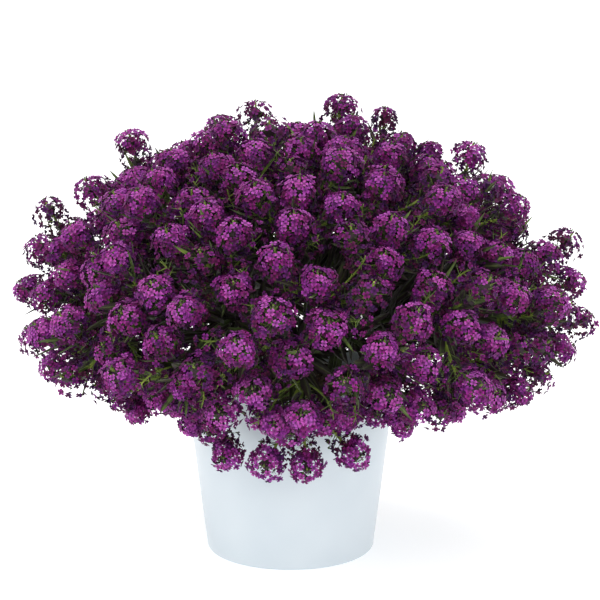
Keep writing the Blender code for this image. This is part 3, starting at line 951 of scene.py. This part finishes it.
@dataclass(frozen=True)
class Raceme:
    """One flower head: buds, open florets, older florets, and the pedicels on its rachis."""

    below: tuple[float, ...] = (0.0, 0.03, 0.12, 0.30, 0.55, 0.80, 1.2, 1.7, 2.2, 2.8, 3.6)
    width: tuple[float, ...] = (0.16, 0.34, 0.58, 0.80, 0.95, 1.0, 0.96, 0.90, 0.84, 0.76, 0.62)
    open_zone: Pair = (0.05, 1.30)
    old_zone: Pair = (1.30, 3.6)
    open_count: int = 64
    old_count: int = 42
    bud_count: int = 9
    tuck: float = 0.92  # petals stand out past the point where they are set
    stand: Pair = (0.80, 1.06)  # how far out a floret stands, next to that point
    turn_spread: float = 0.10
    lean: float = 0.28  # how far a floret looks towards the head's tip
    tilt_spread: float = 0.30
    cup: Pair = (0.8, 1.3)  # how deep a floret is
    seat: float = 0.35  # where under its floret a pedicel ends, in half widths
    lumps: float = 0.13  # how far from round a head is
    pod_count: int = 4
    core_below: tuple[float, ...] = (0.8, 1.9)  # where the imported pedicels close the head's inside
    core_half: tuple[float, ...] = (0.38, 0.30)
    core_long: float = 1.2
    # the core takes the darkest green tone, as painted shade inside the head
    core_shade_age: float = 1.0
    floret_half: Pair = (0.0023, 0.0029)
    old_half: Pair = (0.0021, 0.0029)
    bud_half: float = 0.00062
    bud_shape: Triple = (1.0, 1.0, 1.5)
    bud_zone: Pair = (-0.02, 0.12)
    bud_spread: float = 0.24
    bud_lean: float = 0.5
    pod_half: float = 0.0011
    pod_shape: Triple = (1.0, 0.5, 1.25)
    pod_stand: Pair = (0.8, 1.1)
    pod_lean: float = 0.4
    pod_zone: float = 0.6  # where the pods start, as a share of the way to the last florets
    ages: Triple = (0.02, 0.62, 1.0)  # at the tip, at the open florets' end, last
    age_curve: float = 0.8
    age_spread: float = 0.07
    base_spread: float = 0.05  # between racemes
    green_age: float = 0.45  # of buds and pods
    pedicel_age: float = 0.3
    pod_pedicel_age: float = 0.4
    pedicel_radius: float = 0.00045
    pedicel_reference: Triple = (0.31, 0.42, 0.85)  # their corners turn from it
    rachis_radius: Pair = (0.0013, 0.0007)
    rachis_levels: int = 8
    rachis_end: float = 0.985  # as a share of the bend
    rachis_age: float = 0.15
    lift: float = 0.55  # how far below its floret a pedicel leaves the rachis
    pod_lift: float = 0.3
    reach: float = 0.86  # how much of the bend florets may cover
    dark_share: float = 0.14  # of the racemes are past their best
    dark_age: float = 0.26  # how much older those look
    dark_open: float = 0.58  # and how many of their open florets are left
    loose_share: float = 0.55  # of those at the plant's right and lower left are
    loose_right: float = 0.150
    loose_left: float = -0.115
    loose_height: float = 0.135
    shoot_radius: float = 0.0105
    shoot_zone: Pair = (0.0, 2.4)
    shoot_rachis: Pair = (0.0008, 0.0003)
    shoot_count: int = 24
    shoot_half: Pair = (0.0023, 0.0030)
    shoot_ages: Pair = (0.42, 0.9)

    def fading(self, tip: Vector) -> float:
        """How likely a raceme is past its best: more so at the right and at the lower left."""
        outside = tip.x > self.loose_right or (tip.x < self.loose_left and tip.z < self.loose_height)
        return self.loose_share if outside else self.dark_share

    def spots(self, zone: Pair, count: int) -> tuple[np.ndarray, ...]:
        """Spots spread evenly over a stretch of the head's outline.

        Args:
            zone: Where the stretch starts and ends below the tip, in head radii.
            count: How many spots.

        Returns:
            Distances below the tip, widths, and the outline's slopes there.
        """
        fine = np.linspace(zone[0], zone[1], 80)
        width = np.interp(fine, self.below, self.width)
        middle = (width[1:] + width[:-1]) / 2
        area = np.hypot(np.diff(fine), np.diff(width)) * middle
        covered = np.concatenate([[0.0], np.cumsum(area)]) / area.sum()
        below = np.interp((np.arange(count) + 0.5) / count, covered, fine)
        slope = np.interp(below, fine, np.gradient(width, fine))
        return below, np.interp(below, fine, width), slope

    def pedicels(self, growth: Growth, starts: np.ndarray, ends: np.ndarray, age: float) -> None:
        """Adds thin stalks from the rachis to the florets.

        Args:
            growth: The raceme.
            starts: Where each leaves the rachis, as a share of the bend.
            ends: The point where each ends.
            age: Their age.
        """
        roots = growth.bend.frames(starts)[0]
        along = unit(ends - roots)
        first = unit(np.cross(along, self.pedicel_reference)) * self.pedicel_radius
        second = np.cross(along, first) * 0.87
        ring = np.stack([first, second - first / 2, -second - first / 2], 1)
        tones = aged(age, len(ends), growth.dice)
        growth.greens.loft((roots[:, None] + ring)[:, None], np.full(3, STEM_ACROSS), tones, ends)

    def florets(self, growth: Growth, kind: Flower, zone: Pair, count: int, halves: Pair,
            ages: Pair) -> None:
        """Covers a stretch of the head with florets on pedicels.

        Args:
            growth: The raceme.
            kind: The kind of floret.
            zone: Where the stretch starts and ends, in head radii.
            count: How many florets.
            halves: The least and greatest half width.
            ages: The age at the stretch's start and end.
        """
        dice = growth.dice
        below, width, slope = self.spots(zone, count)
        turns = np.arange(count) * GOLDEN_ANGLE + dice.uniform(0, 2 * math.pi)
        turns = turns + dice.normal(0, self.turn_spread, count)
        lumps = 1 + self.lumps * np.sin(3 * turns + dice.uniform(0, 2 * math.pi))
        width = width * lumps * dice.uniform(*self.stand, count) * self.tuck
        places, out, along = growth.places(below, width, turns)
        lift = slope + self.lean
        normals = unit(out + along * lift[:, None] + dice.normal(0, self.tilt_spread, (count, 3)))
        half = dice.uniform(*halves, count)
        sizes = np.stack([half, half, half * dice.uniform(*self.cup, count)], 1)
        share = ((below - zone[0]) / (zone[1] - zone[0])) ** self.age_curve
        age = ages[0] + (ages[1] - ages[0]) * share + dice.normal(0, self.age_spread, count)
        tones = np.stack([np.clip(age, 0, 1), dice.random(count)], 1)
        frames = facing(normals, dice.uniform(0, 2 * math.pi, count))
        growth.florets.stamp(growth.kinds[kind], places, frames, sizes, tones)
        feet = places - normals * (half * self.seat)[:, None]
        self.pedicels(growth, growth.share(below + self.lift)[::2], feet[::2], self.pedicel_age)

    def buds(self, growth: Growth) -> None:
        """Crowds buds at the head's tip, green and purple by turns.

        Args:
            growth: The raceme.
        """
        count, dice = self.bud_count, growth.dice
        below = dice.uniform(*self.bud_zone, count)
        width = np.sqrt(np.arange(count) / count) * self.bud_spread
        places, out, along = growth.places(below, width, np.arange(count) * GOLDEN_ANGLE)
        frames = facing(unit(along + out * self.bud_lean), dice.uniform(0, SPIN, count))
        sizes = np.full((count, 3), self.bud_half) * self.bud_shape
        tones = aged(self.green_age, count, dice)
        for batch, part in ((growth.greens, slice(0, None, 2)), (growth.florets, slice(1, None, 2))):
            batch.stamp(growth.kinds[Flower.BUD], places[part], frames[part], sizes[part], tones[part])

    def pods(self, growth: Growth, lowest: float) -> None:
        """Sets flat seed pods on pedicels at the head's lower end.

        Args:
            growth: The raceme.
            lowest: How far the lowest florets are below the tip, in head radii.
        """
        count, dice = self.pod_count, growth.dice
        below = dice.uniform(self.pod_zone * lowest, lowest, count)
        width = np.interp(below, self.below, self.width) * dice.uniform(*self.pod_stand, count)
        turns = dice.uniform(0, 2 * math.pi, count)
        places, out, along = growth.places(below, width, turns)
        frames = facing(unit(out + along * self.pod_lean), turns)
        sizes = np.full((count, 3), self.pod_half) * self.pod_shape
        tones = aged(self.green_age, count, dice)
        growth.greens.stamp(growth.kinds[Flower.BUD], places, frames, sizes, tones)
        self.pedicels(growth, growth.share(below + self.pod_lift), places, self.pod_pedicel_age)

    def core(self, growth: Growth) -> None:
        """Closes the head's inside, where its pedicels are packed, in the darkest green tone as painted
        shade.

        Args:
            growth: The raceme.
        """
        points, along, _, _ = growth.bend.frames(growth.share(np.array(self.core_below)))
        half = np.array(self.core_half) * growth.radius
        sizes = np.stack([half, half, np.full(len(half), half[0] * self.core_long)], 1)
        frames, tones = facing(along, np.zeros(len(half))), np.full((len(half), 2), self.core_shade_age)
        growth.greens.stamp(growth.kinds[Flower.BUD], points, frames, sizes, tones)

    def rachis(self, growth: Growth, ends: Pair) -> None:
        """Adds the raceme's stalk.

        Args:
            growth: The raceme.
            ends: The stalk's radius at its foot and at its tip.
        """
        shares = np.linspace(0.0, self.rachis_end, self.rachis_levels)
        radii = np.interp(shares, (0, 1), ends)[None]
        tones = np.array([[self.rachis_age, growth.dice.random()]])
        growth.greens.tubes(growth.bend.frames(shares)[0][None], radii, 5, tones)

    def grow(self, growth: Growth) -> None:
        """Grows a whole raceme, from the buds at its tip to the pods below its florets.

        Args:
            growth: The raceme.
        """
        dark = growth.dice.random() < self.fading(growth.bend.end)
        base = growth.dice.normal(0.0, self.base_spread) + (self.dark_age if dark else 0.0)
        first, turned, last = (age + base for age in self.ages)
        count = round(self.open_count * (self.dark_open if dark else 1.0))
        self.florets(growth, Flower.OPEN, self.open_zone, count, self.floret_half, (first, turned))
        start, lowest = self.old_zone
        lowest = min(lowest, self.reach * growth.bend.length / growth.radius)
        self.florets(growth, Flower.OLD, (start, lowest), self.old_count, self.old_half, (turned, last))
        self.buds(growth)
        self.pods(growth, lowest)
        self.core(growth)
        self.rachis(growth, self.rachis_radius)

    def grow_side_shoot(self, growth: Growth) -> None:
        """Grows an older shoot inside the mound, whose florets have nearly all faded.

        Args:
            growth: The shoot.
        """
        self.florets(growth, Flower.OLD, self.shoot_zone, self.shoot_count, self.shoot_half,
            self.shoot_ages)
        self.rachis(growth, self.shoot_rachis)


@dataclass(frozen=True)
class Foliage:
    """The narrow leaves, alone and along a stem."""

    stations: tuple[float, ...] = (0.0, 0.25, 0.55, 0.82)
    widths: tuple[float, ...] = (0.22, 0.76, 1.0, 0.60)
    fold: float = 0.16  # how far the blade's edges stand above its midrib, as a share of its width
    thickness: float = 0.16
    slant: float = 0.7
    curl: float = 0.4
    curl_place: float = 0.5  # how early the blade curls, as a share of its span

    def bend(self, root: Vector, along: Vector, side: Vector, turn: float, length: float) -> Bend:
        """A leaf's middle line: it leaves its stem at a slant and curls towards its direction.

        Args:
            root: Where it leaves the stem.
            along: The stem's direction there.
            side: A direction across the stem.
            turn: The angle round the stem, from that direction.
            length: The leaf's length.

        Returns:
            The middle line.
        """
        across = along.cross(side)
        out = side * math.cos(turn) + across * math.sin(turn)
        heading = (along + out * self.slant).normalized()
        arrival = (heading + along * self.curl).normalized()
        return Bend(root, root + heading * length, arrival, self.curl_place)

    def add(self, greens: Batch, leaves: list[Leaf], draw: random.Random) -> None:
        """Adds leaves.

        Args:
            greens: Takes them.
            leaves: Each leaf's middle line, width and age.
            draw: Seeded random draws.
        """
        if not leaves:
            return
        rings, tips, tones = [], [], []
        for bend, width, age in leaves:
            points, _, side, keel = bend.frames(np.array(self.stations))
            half = np.array(self.widths)[:, None] * width / 2
            up = keel * (half * 2 * self.fold)
            under = keel * (half * 2 * self.thickness)
            corners = [points + side * half - up, points + under, points - side * half - up, points]
            rings.append(np.stack(corners, 1))
            tips.append(np.array(bend.end))
            tones.append((min(1.0, max(0.0, age)), draw.random()))
        across = np.array([1.0, 0.0, 1.0, 0.0])
        greens.loft(np.array(rings), across, np.array(tones), np.array(tips))


class Room:
    """What is already in the mound, as small balls, so that leaves can keep clear of it."""

    def __init__(self) -> None:
        """Starts with an empty mound."""
        self.places: list[tuple[float, ...]] = []
        self.widths: list[float] = []
        self.owners: list[str] = []

    def take(self, points: Sequence[Vector], width: float, owner: str) -> None:
        """Takes room along a line of points.

        Args:
            points: The line.
            width: The half width that is taken.
            owner: Who takes it.
        """
        self.places += [tuple(point) for point in points]
        self.widths += [width] * len(points)
        self.owners += [owner] * len(points)

    def clearance(self, points: Sequence[Vector], width: float, owner: str) -> float:
        """The least gap between a line and what others own.

        Args:
            points: The line.
            width: Its half width.
            owner: Whose line it is.

        Returns:
            The gap.
        """
        others = np.array([holder != owner for holder in self.owners])
        places, widths = np.array(self.places)[others], np.array(self.widths)[others]
        line = np.array([tuple(point) for point in points])
        apart = np.linalg.norm(line[:, None] - places[None], axis=2) - widths[None]
        return float(apart.min()) - width


@dataclass(frozen=True)
class Pot:
    """The plain tapered pot."""

    height: float = 0.124
    rim_radius: float = 0.0725
    foot_radius: float = 0.0570
    wall: float = 0.0022
    floor: float = 0.0030
    foot_round: float = 0.0030
    sides: int = 144
    solid_sides: int = 36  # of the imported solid

    def slope(self) -> float:
        """How much the wall leans out for each metre up."""
        return (self.rim_radius - self.foot_radius) / self.height

    def profile(self) -> list[Pair]:
        """Draws the wall's outline.

        Returns:
            Radii and heights, from the floor's middle inside to the foot's middle outside.
        """
        lip = self.wall / 2
        slope = self.slope()
        inside_foot = self.foot_radius + slope * self.floor - self.wall
        middle = self.rim_radius - lip - slope * lip
        points = [(0.0, self.floor), (inside_foot, self.floor)]
        for i in range(9):
            angle = math.pi * (1 - i / 8)
            points.append((middle + lip * math.cos(angle), self.height - lip + lip * math.sin(angle)))
        centre = self.foot_radius + slope * self.foot_round - self.foot_round
        for i in range(7):
            angle = -math.pi / 2 * i / 6
            out = centre + self.foot_round * math.cos(angle)
            points.append((out, self.foot_round + self.foot_round * math.sin(angle)))
        points.append((0.0, 0.0))
        return points

    def build(self, material: bpy.types.Material) -> bpy.types.Object:
        """Turns the wall's outline round the pot's axis.

        Args:
            material: The pot's material.

        Returns:
            The piece.
        """
        profile = self.profile()
        inner = profile[1:-1]
        cos, sin = circle(self.sides)
        rings = [np.stack([r * cos, r * sin, np.full(self.sides, z)], 1) for r, z in inner]
        points = np.concatenate([*rings, [[0.0, 0.0, profile[-1][1]]], [[0.0, 0.0, profile[0][1]]]])
        batch = Batch()
        batch.add(points, capped_faces(len(rings), self.sides)[:, ::-1], np.ones((len(points), 4)))
        return batch.piece("pot_wall", material, 40)


@dataclass(frozen=True)
class Soil:
    """The soil: a crumbly crowned surface on a plug that fills the pot."""

    top: float = 0.112
    crown: float = 0.003
    rings: int = 26
    sides: int = 96
    crumbs: int = 900
    crumb_mm: Pair = (0.5, 1.7)  # half widths
    pale: int = 40  # grains of white perlite
    pale_mm: Pair = (0.6, 1.3)
    crumb_reach: float = 0.96  # how near the wall they lie
    crumb_lift: float = 0.2  # how far they stand out of the soil
    crumb_shape: Pair = (0.6, 1.1)
    wave: float = 0.00022
    waves: int = 14
    wave_pitch: float = 260.0  # at most, in radians a metre
    grain: float = 0.0004
    seed: int = 31

    def level(self, share: np.ndarray) -> np.ndarray:
        """The mean height at a share of the way from the middle to the wall."""
        return self.top + self.crown * (1 - share**2)

    def build(self, pot: Pot, material: bpy.types.Material) -> bpy.types.Object:
        """Builds the plug and its crumbs.

        Args:
            pot: The pot that holds it.
            material: The soil's material.

        Returns:
            The piece.
        """
        dice = np.random.default_rng(self.seed)
        gap = TOUCH_GAP * 2
        shrink = math.cos(math.pi / pot.solid_sides)
        wide = (pot.foot_radius + pot.slope() * self.top - pot.wall) * shrink - gap
        foot = (pot.foot_radius + pot.slope() * pot.floor - pot.wall) * shrink - gap
        shares = np.linspace(1.0, 1 / self.rings, self.rings)
        cos, sin = circle(self.sides)
        low = np.stack([foot * cos, foot * sin, np.full(self.sides, pot.floor + gap)], 1)
        levels = [low]
        waves = dice.uniform(-1, 1, (self.waves, 2)) * self.wave_pitch
        phases = dice.uniform(0, SPIN, self.waves)
        for share in shares:
            x, y = wide * share * cos, wide * share * sin
            bumps = sum(np.sin(x * a + y * b + p) for (a, b), p in zip(waves, phases)) * self.wave
            grain = dice.uniform(-self.grain, self.grain, self.sides)
            levels.append(np.stack([x, y, self.level(share) + bumps + grain], 1))
        middle = [[0.0, 0.0, self.top + self.crown]]
        base = [[0.0, 0.0, pot.floor + gap]]
        points = np.concatenate([*levels, middle, base])
        batch = Batch()
        batch.add(points, capped_faces(len(levels), self.sides), np.zeros((len(points), 4)))
        for shade, shoulder, count, (least, most) in ((Shade.DARK, 0.1, self.crumbs, self.crumb_mm),
                (Shade.PALE, -0.1, self.pale, self.pale_mm)):
            share = np.sqrt(dice.random(count)) * self.crumb_reach
            turn = dice.uniform(0, 2 * math.pi, count)
            half = dice.uniform(least, most, count) * 0.001
            height = self.level(share) + half * self.crumb_lift
            places = np.stack([wide * share * np.cos(turn), wide * share * np.sin(turn), height], 1)
            frames = facing(unit(dice.normal(0, 1, (count, 3))), turn)
            sizes = half[:, None] * dice.uniform(*self.crumb_shape, (count, 3))
            stamp = Stamp.grain(6, shoulder)
            batch.stamp(stamp, places, frames, sizes, dice.random((count, 2)), shade)
        return batch.piece("soil_crumbs", material, 50)


@dataclass(frozen=True)
class Plant:
    """The stems, leaves and flower heads."""

    mound: Mound = Mound()
    raceme: Raceme = Raceme()
    foliage: Foliage = Foliage()
    stem_shell: Shell = Shell((0.003, 0.0, 0.146), 0.046, 0.046, 0.050, 0.050)
    even_shell: Shell = Shell((0.0, 0.0, 0.0), 1.0, 1.0, 1.0, 1.0)
    stems: int = 11
    root_spread: float = 0.030
    root_depth: float = 0.022
    stem_radius: float = 0.0024
    branch_radius: float = 0.0017
    branch_end_radius: float = 0.0013
    branch_start: float = 0.97
    branch_turn: float = 0.45
    leaf_length: Pair = (0.025, 0.034)
    leaf_width: float = 0.0040
    leaf_places: tuple[float, ...] = (0.60, 0.82, 0.95)
    leaf_turns: int = 12
    leaf_clearance: float = 0.0006
    leaf_seed: int = 5
    pot_clearance: float = 0.004
    stalk_step: float = 0.003  # between the points that stand for a stalk
    leaf_step: float = 0.002
    stalk_radius: float = 0.0013
    fork_radius: Pair = (0.0016, 0.0019)
    stem_tone: Pair = (0.62, 0.5)  # age and chance
    branch_tone: Pair = (0.5, 0.5)
    fork_tone: Pair = (0.4, 0.5)
    leaf_age: float = 0.45
    branch_leaves: int = 42  # more leaves on each branch than the solids have
    branch_leaf_length: Pair = (0.026, 0.042)
    branch_leaf_width: Pair = (0.0046, 0.0070)
    branch_leaf_zone: Pair = (0.08, 0.86)  # where they start, and how far they go on
    shaded_ages: Pair = (0.78, 1.0)  # leaves deep inside take the darkest tones: partly old age, partly painted shade
    shaded_leaves: int = 3  # of each raceme's leaves
    raceme_leaves: int = 8
    raceme_leaf_length: Pair = (0.018, 0.032)
    raceme_leaf_width: Pair = (0.0020, 0.0034)
    raceme_leaf_zone: Pair = (0.02, 0.46)
    raceme_leaf_ages: Pair = (0.3, 0.9)
    side_shoots: int = 4  # of each spray, older than its racemes and shorter
    shoot_length: Pair = (0.037, 0.046)
    shoot_spread: float = 1.0
    shoot_turn: float = 0.4
    leaf_floor: float = 0.124  # no added leaf ends lower than the pot's rim
    stem_seed: int = 1000
    spray_seed: int = 2000
    shoot_seed: int = 7000

    def stem_plan(self, soil_top: float) -> list[tuple[Vector, Vector]]:
        """Sets out the stems.

        Args:
            soil_top: The height of the soil's top.

        Returns:
            The root and top of each.
        """
        stems = []
        for azimuth, latitude in self.even_shell.even_directions(self.stems, 0.0):
            top = self.stem_shell.point(azimuth, latitude)
            out = Vector((top.x, top.y, 0)) * (self.root_spread / self.stem_shell.across)
            stems.append((Vector((out.x, out.y, soil_top - self.root_depth + TOUCH_GAP)), top))
        return stems

    def branch_plan(self, sprays: list[Spray], stems: list[tuple[Vector, Vector]]) -> list[list[Bend]]:
        """Leads a branch to each spray, from the nearest stem to just under the spray's fork.

        Args:
            sprays: The sprays.
            stems: Each stem's root and top.

        Returns:
            The branches' middle lines for each stem.
        """
        tops = [top for _, top in stems]
        branches: list[list[Bend]] = [[] for _ in stems]
        for spray in sprays:
            number = nearest(tops, spray.fork)
            root, top = stems[number]
            start = root.lerp(top, self.branch_start)
            end = spray.fork - spray.lean * TOUCH_GAP
            branches[number].append(Bend(start, end, spray.lean, self.branch_turn))
        return branches

    def taken_room(self, sprays: list[Spray], branches: list[list[Bend]], pot: Pot) -> Room:
        """The room that heads, stalks, branches and the pot's rim take.

        Args:
            sprays: The sprays.
            branches: The branches' middle lines for each stem.
            pot: The pot.

        Returns:
            The room.
        """
        room = Room()
        for i, spray in enumerate(sprays):
            for bend, radius in spray.racemes:
                for below, width in self.mound.head_rings:
                    place = bend.point(1 - below * radius / bend.length)
                    room.take([place], width * radius, f"spray {i}")
                stalk = bend.samples(self.stalk_step)
                room.take(stalk[: len(stalk) // 2], self.stalk_radius * 2, f"spray {i}")
        for stem, bends in enumerate(branches):
            for bend in bends:
                room.take(bend.samples(self.stalk_step), self.branch_radius, str(stem))
        count = 2 * pot.solid_sides
        turns = [2 * math.pi * i / count for i in range(count)]
        rim = [(pot.rim_radius * math.cos(a), pot.rim_radius * math.sin(a), pot.height) for a in turns]
        room.take(rim, self.pot_clearance, "pot")
        return room

    def solid_leaves(self, number: int, bends: list[Bend], room: Room) -> list[Leaf]:
        """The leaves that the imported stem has, in the same places.

        Args:
            number: The stem's number.
            bends: Its branches' middle lines.
            room: What is already in the mound. The leaves are added to it.

        Returns:
            The leaves.
        """
        draw = random.Random(self.leaf_seed + number)
        leaves = []
        for bend in bends:
            for place in self.leaf_places:
                length = draw.uniform(*self.leaf_length)
                turn = draw.uniform(0, 2 * math.pi)
                for attempt in range(self.leaf_turns):
                    way = turn + attempt * GOLDEN_ANGLE
                    leaf = self.foliage.bend(bend.point(place), bend.direction(place), bend.side, way,
                        length)
                    line = leaf.samples(self.leaf_step)
                    if room.clearance(line, self.leaf_width / 2, str(number)) > self.leaf_clearance:
                        room.take(line, self.leaf_width / 2, str(number))
                        leaves.append((leaf, self.leaf_width, self.leaf_age))
                        break
        return leaves

    def sprout(self, bend: Bend, zone: Pair, lengths: Pair, looks: list[tuple[Pair, Pair]],
            draw: random.Random) -> list[Leaf]:
        """Added leaves along a bend, but for those that would end below the pot's rim.

        Args:
            bend: The branch or raceme that carries them.
            zone: Where they start on it, and how far they go on.
            lengths: Their least and greatest length.
            looks: The range of widths and of ages for each leaf.
            draw: Seeded random draws.

        Returns:
            Each leaf's middle line, width and age.
        """
        leaves = []
        start, span = zone
        for i, (widths, ages) in enumerate(looks):
            place = start + span * (i + draw.random()) / len(looks)
            leaf = self.foliage.bend(bend.point(place), bend.direction(place), bend.side,
                draw.uniform(0, 2 * math.pi), draw.uniform(*lengths))
            if leaf.end.z > self.leaf_floor:
                leaves.append((leaf, draw.uniform(*widths), draw.uniform(*ages)))
        return leaves

    def build_stem(self, number: int, root: Vector, top: Vector, bends: list[Bend], room: Room,
            material: bpy.types.Material) -> bpy.types.Object:
        """Builds one leafy stem.

        Args:
            number: The stem's number.
            root: Where it stands in its hole.
            top: Where it divides.
            bends: Its branches' middle lines.
            room: What is already in the mound.
            material: The green material.

        Returns:
            The piece.
        """
        draw = random.Random(self.stem_seed + number)
        greens = Batch()
        stem = np.array([tuple(root.lerp(top, i / 6)) for i in range(7)])[None]
        radii = np.linspace(self.stem_radius, self.branch_radius, 7)[None]
        greens.tubes(stem, radii, 9, np.array([self.stem_tone]))
        leaves = self.solid_leaves(number, bends, room)
        for bend in bends:
            path = bend.frames(np.linspace(0, 1, 9))[0][None]
            radii = np.linspace(self.branch_radius, self.branch_end_radius, 9)[None]
            greens.tubes(path, radii, 7, np.array([self.branch_tone]))
            # the added branch leaves sit deep inside and take the darkest tones, partly as painted shade
            looks = [(self.branch_leaf_width, self.shaded_ages)] * self.branch_leaves
            leaves += self.sprout(bend, self.branch_leaf_zone, self.branch_leaf_length, looks, draw)
        self.foliage.add(greens, leaves, draw)
        return greens.piece(f"stem_greens_{number + 1:02d}", material, 35)

    def shoot_bend(self, spray: Spray, turn: float, draw: random.Random) -> Bend:
        """The middle line of a side shoot.

        Args:
            spray: The spray whose fork it leaves.
            turn: The angle round the fork.
            draw: Seeded random draws.

        Returns:
            The middle line.
        """
        side = spray.lean.orthogonal().normalized()
        out = side * math.cos(turn) + spray.lean.cross(side) * math.sin(turn)
        way = (spray.lean + out * self.shoot_spread).normalized()
        end = spray.fork + way * draw.uniform(*self.shoot_length)
        return Bend(spray.fork + spray.lean * TOUCH_GAP, end, spray.lean, self.shoot_turn)

    def build_spray(self, number: int, spray: Spray, kinds: dict[Flower, Stamp],
            petals: bpy.types.Material, green: bpy.types.Material
            ) -> tuple[bpy.types.Object, bpy.types.Object]:
        """Builds one spray.

        Args:
            number: The spray's number.
            spray: Its fork and racemes.
            kinds: The stamps of the florets and buds.
            petals: The petals' material.
            green: The green material.

        Returns:
            Its florets and its greens.
        """
        draw = random.Random(self.spray_seed + number)
        florets, greens = Batch(), Batch()
        middle = np.array([tuple(spray.fork), tuple(spray.fork + spray.lean * self.mound.fork_length)])
        greens.tubes(middle[None], np.array([self.fork_radius]), 8, np.array([self.fork_tone]))
        leaves = []
        # each raceme's lowest leaves sit deep inside and take the darkest tones, partly as painted shade
        looks = [(self.branch_leaf_width, self.shaded_ages)] * self.shaded_leaves
        looks += [(self.raceme_leaf_width, self.raceme_leaf_ages)] * (self.raceme_leaves - len(looks))
        for i, (bend, radius) in enumerate(spray.racemes):
            dice = np.random.default_rng(100 * number + i)
            self.raceme.grow(Growth(florets, greens, kinds, bend, radius, dice))
            leaves += self.sprout(bend, self.raceme_leaf_zone, self.raceme_leaf_length, looks, draw)
        self.foliage.add(greens, leaves, draw)
        for i in range(self.side_shoots):
            shoot_number = number * self.side_shoots + i
            shoot = self.shoot_bend(spray, shoot_number * GOLDEN_ANGLE, draw)
            dice = np.random.default_rng(self.shoot_seed + shoot_number)
            growth = Growth(florets, greens, kinds, shoot, self.raceme.shoot_radius, dice)
            self.raceme.grow_side_shoot(growth)
        name = f"{number + 1:02d}"
        return (florets.piece(f"spray_florets_{name}", petals, 50),
            greens.piece(f"spray_greens_{name}", green, 35))


@dataclass(frozen=True)
class Lamp:
    """A square soft light that faces the plant."""

    name: str
    place: Triple
    size: float
    watts: float
    colour: str

    def build(self, aim: Triple) -> None:
        """Hangs the lamp up.

        Args:
            aim: The place that it is turned to.
        """
        data = bpy.data.lights.new(self.name, "AREA")
        data.size = self.size
        data.energy = self.watts
        data.color = linear(self.colour)[:3]
        lamp = bpy.data.objects.new(self.name, data)
        lamp.location = self.place
        direction = Vector(aim) - Vector(self.place)
        lamp.rotation_euler = direction.to_track_quat("-Z", "Y").to_euler()
        bpy.context.scene.collection.objects.link(lamp)


@dataclass(frozen=True)
class Studio:
    """The camera at the photograph's view, soft lights and a pale floor."""

    elevation: float = math.radians(13.17)
    distance: float = 1.849
    lens_mm: float = 163.4
    aim: Triple = (0.0065, 0.0, 0.174)
    sensor_mm: float = 36.0
    floor_half: float = 6.0
    lamps: tuple[Lamp, ...] = (
        Lamp("key_light", (-1.10, -1.60, 2.40), 2.6, 34.0, "#FFFDF8"),
        Lamp("top_light", (0.10, 0.10, 2.6), 2.0, 26.0, "#FFFFFF"),
        Lamp("fill_light", (2.10, -1.30, 0.60), 1.6, 5.0, "#F4F8FF"),
    )

    def build(self) -> None:
        """Sets the studio up."""
        scene = bpy.context.scene
        data = bpy.data.cameras.new("photo_camera")
        data.sensor_width = self.sensor_mm
        data.lens = self.lens_mm
        camera = bpy.data.objects.new("photo_camera", data)
        back = Vector((0.0, -math.cos(self.elevation), math.sin(self.elevation)))
        camera.location = Vector(self.aim) + back * self.distance
        camera.rotation_euler = (math.pi / 2 - self.elevation, 0.0, 0.0)
        scene.collection.objects.link(camera)
        scene.camera = camera
        for lamp in self.lamps:
            lamp.build(self.aim)
        world = bpy.data.worlds.new("studio_world")
        world.use_nodes = True
        background = world.node_tree.nodes["Background"]
        background.inputs["Color"].default_value = linear("#FFFFFF")
        background.inputs["Strength"].default_value = 1.0
        scene.world = world
        scene.view_settings.view_transform = "Standard"
        bpy.ops.mesh.primitive_plane_add(size=2 * self.floor_half)
        floor = bpy.context.object
        floor.name = "studio_floor"
        floor.data.materials.append(StudioPaper().make())


def set_down(piece: bpy.types.Object, slot: str, *nodes: str) -> None:
    """Sets a piece on the root body, and hides the imported nodes that it stands for.

    Args:
        piece: The piece.
        slot: The finish. Not used.
        *nodes: The nodes that it replaces.
    """
    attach(piece, "root")
    if nodes:
        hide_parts(*nodes)


def main() -> None:
    """Builds and dresses every piece in order."""
    logging.basicConfig(level=logging.INFO, format="%(name)s %(message)s")
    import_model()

    pot, soil, plant = Pot(), Soil(), Plant()
    green = GreenTissue().make()
    petals = PetalTissue().make()
    set_down(pot.build(MouldedPolypropylene().make()), "white_plastic", "pot")
    set_down(soil.build(pot, PottingSoil().make()), "potting_soil", "soil")

    sprays = plant.mound.plan()
    stems = plant.stem_plan(soil.top)
    branches = plant.branch_plan(sprays, stems)
    room = plant.taken_room(sprays, branches, pot)
    for number, ((root, top), bends) in enumerate(zip(stems, branches)):
        piece = plant.build_stem(number, root, top, bends, room, green)
        set_down(piece, "stem_green", f"leafy_stem_{number + 1:02d}")

    kinds = {
        Flower.OPEN: Stamp.floret(((-24, 1.0, 0.02), (24, 1.0, 0.02), (45, 0.45, -0.08)), -0.05, 0.35),
        Flower.OLD: Stamp.floret(((-26, 0.85, 0.30), (26, 0.85, 0.30), (45, 0.36, 0.02)), -0.05, 0.40),
        Flower.BUD: Stamp.grain(4, 0.25),
    }
    for number, spray in enumerate(sprays):
        florets, greens = plant.build_spray(number, spray, kinds, petals, green)
        set_down(florets, "floret_purple", f"spray_{number + 1:02d}")
        set_down(greens, "stem_green")

    Studio().build()


if __name__ == "__main__":
    main()
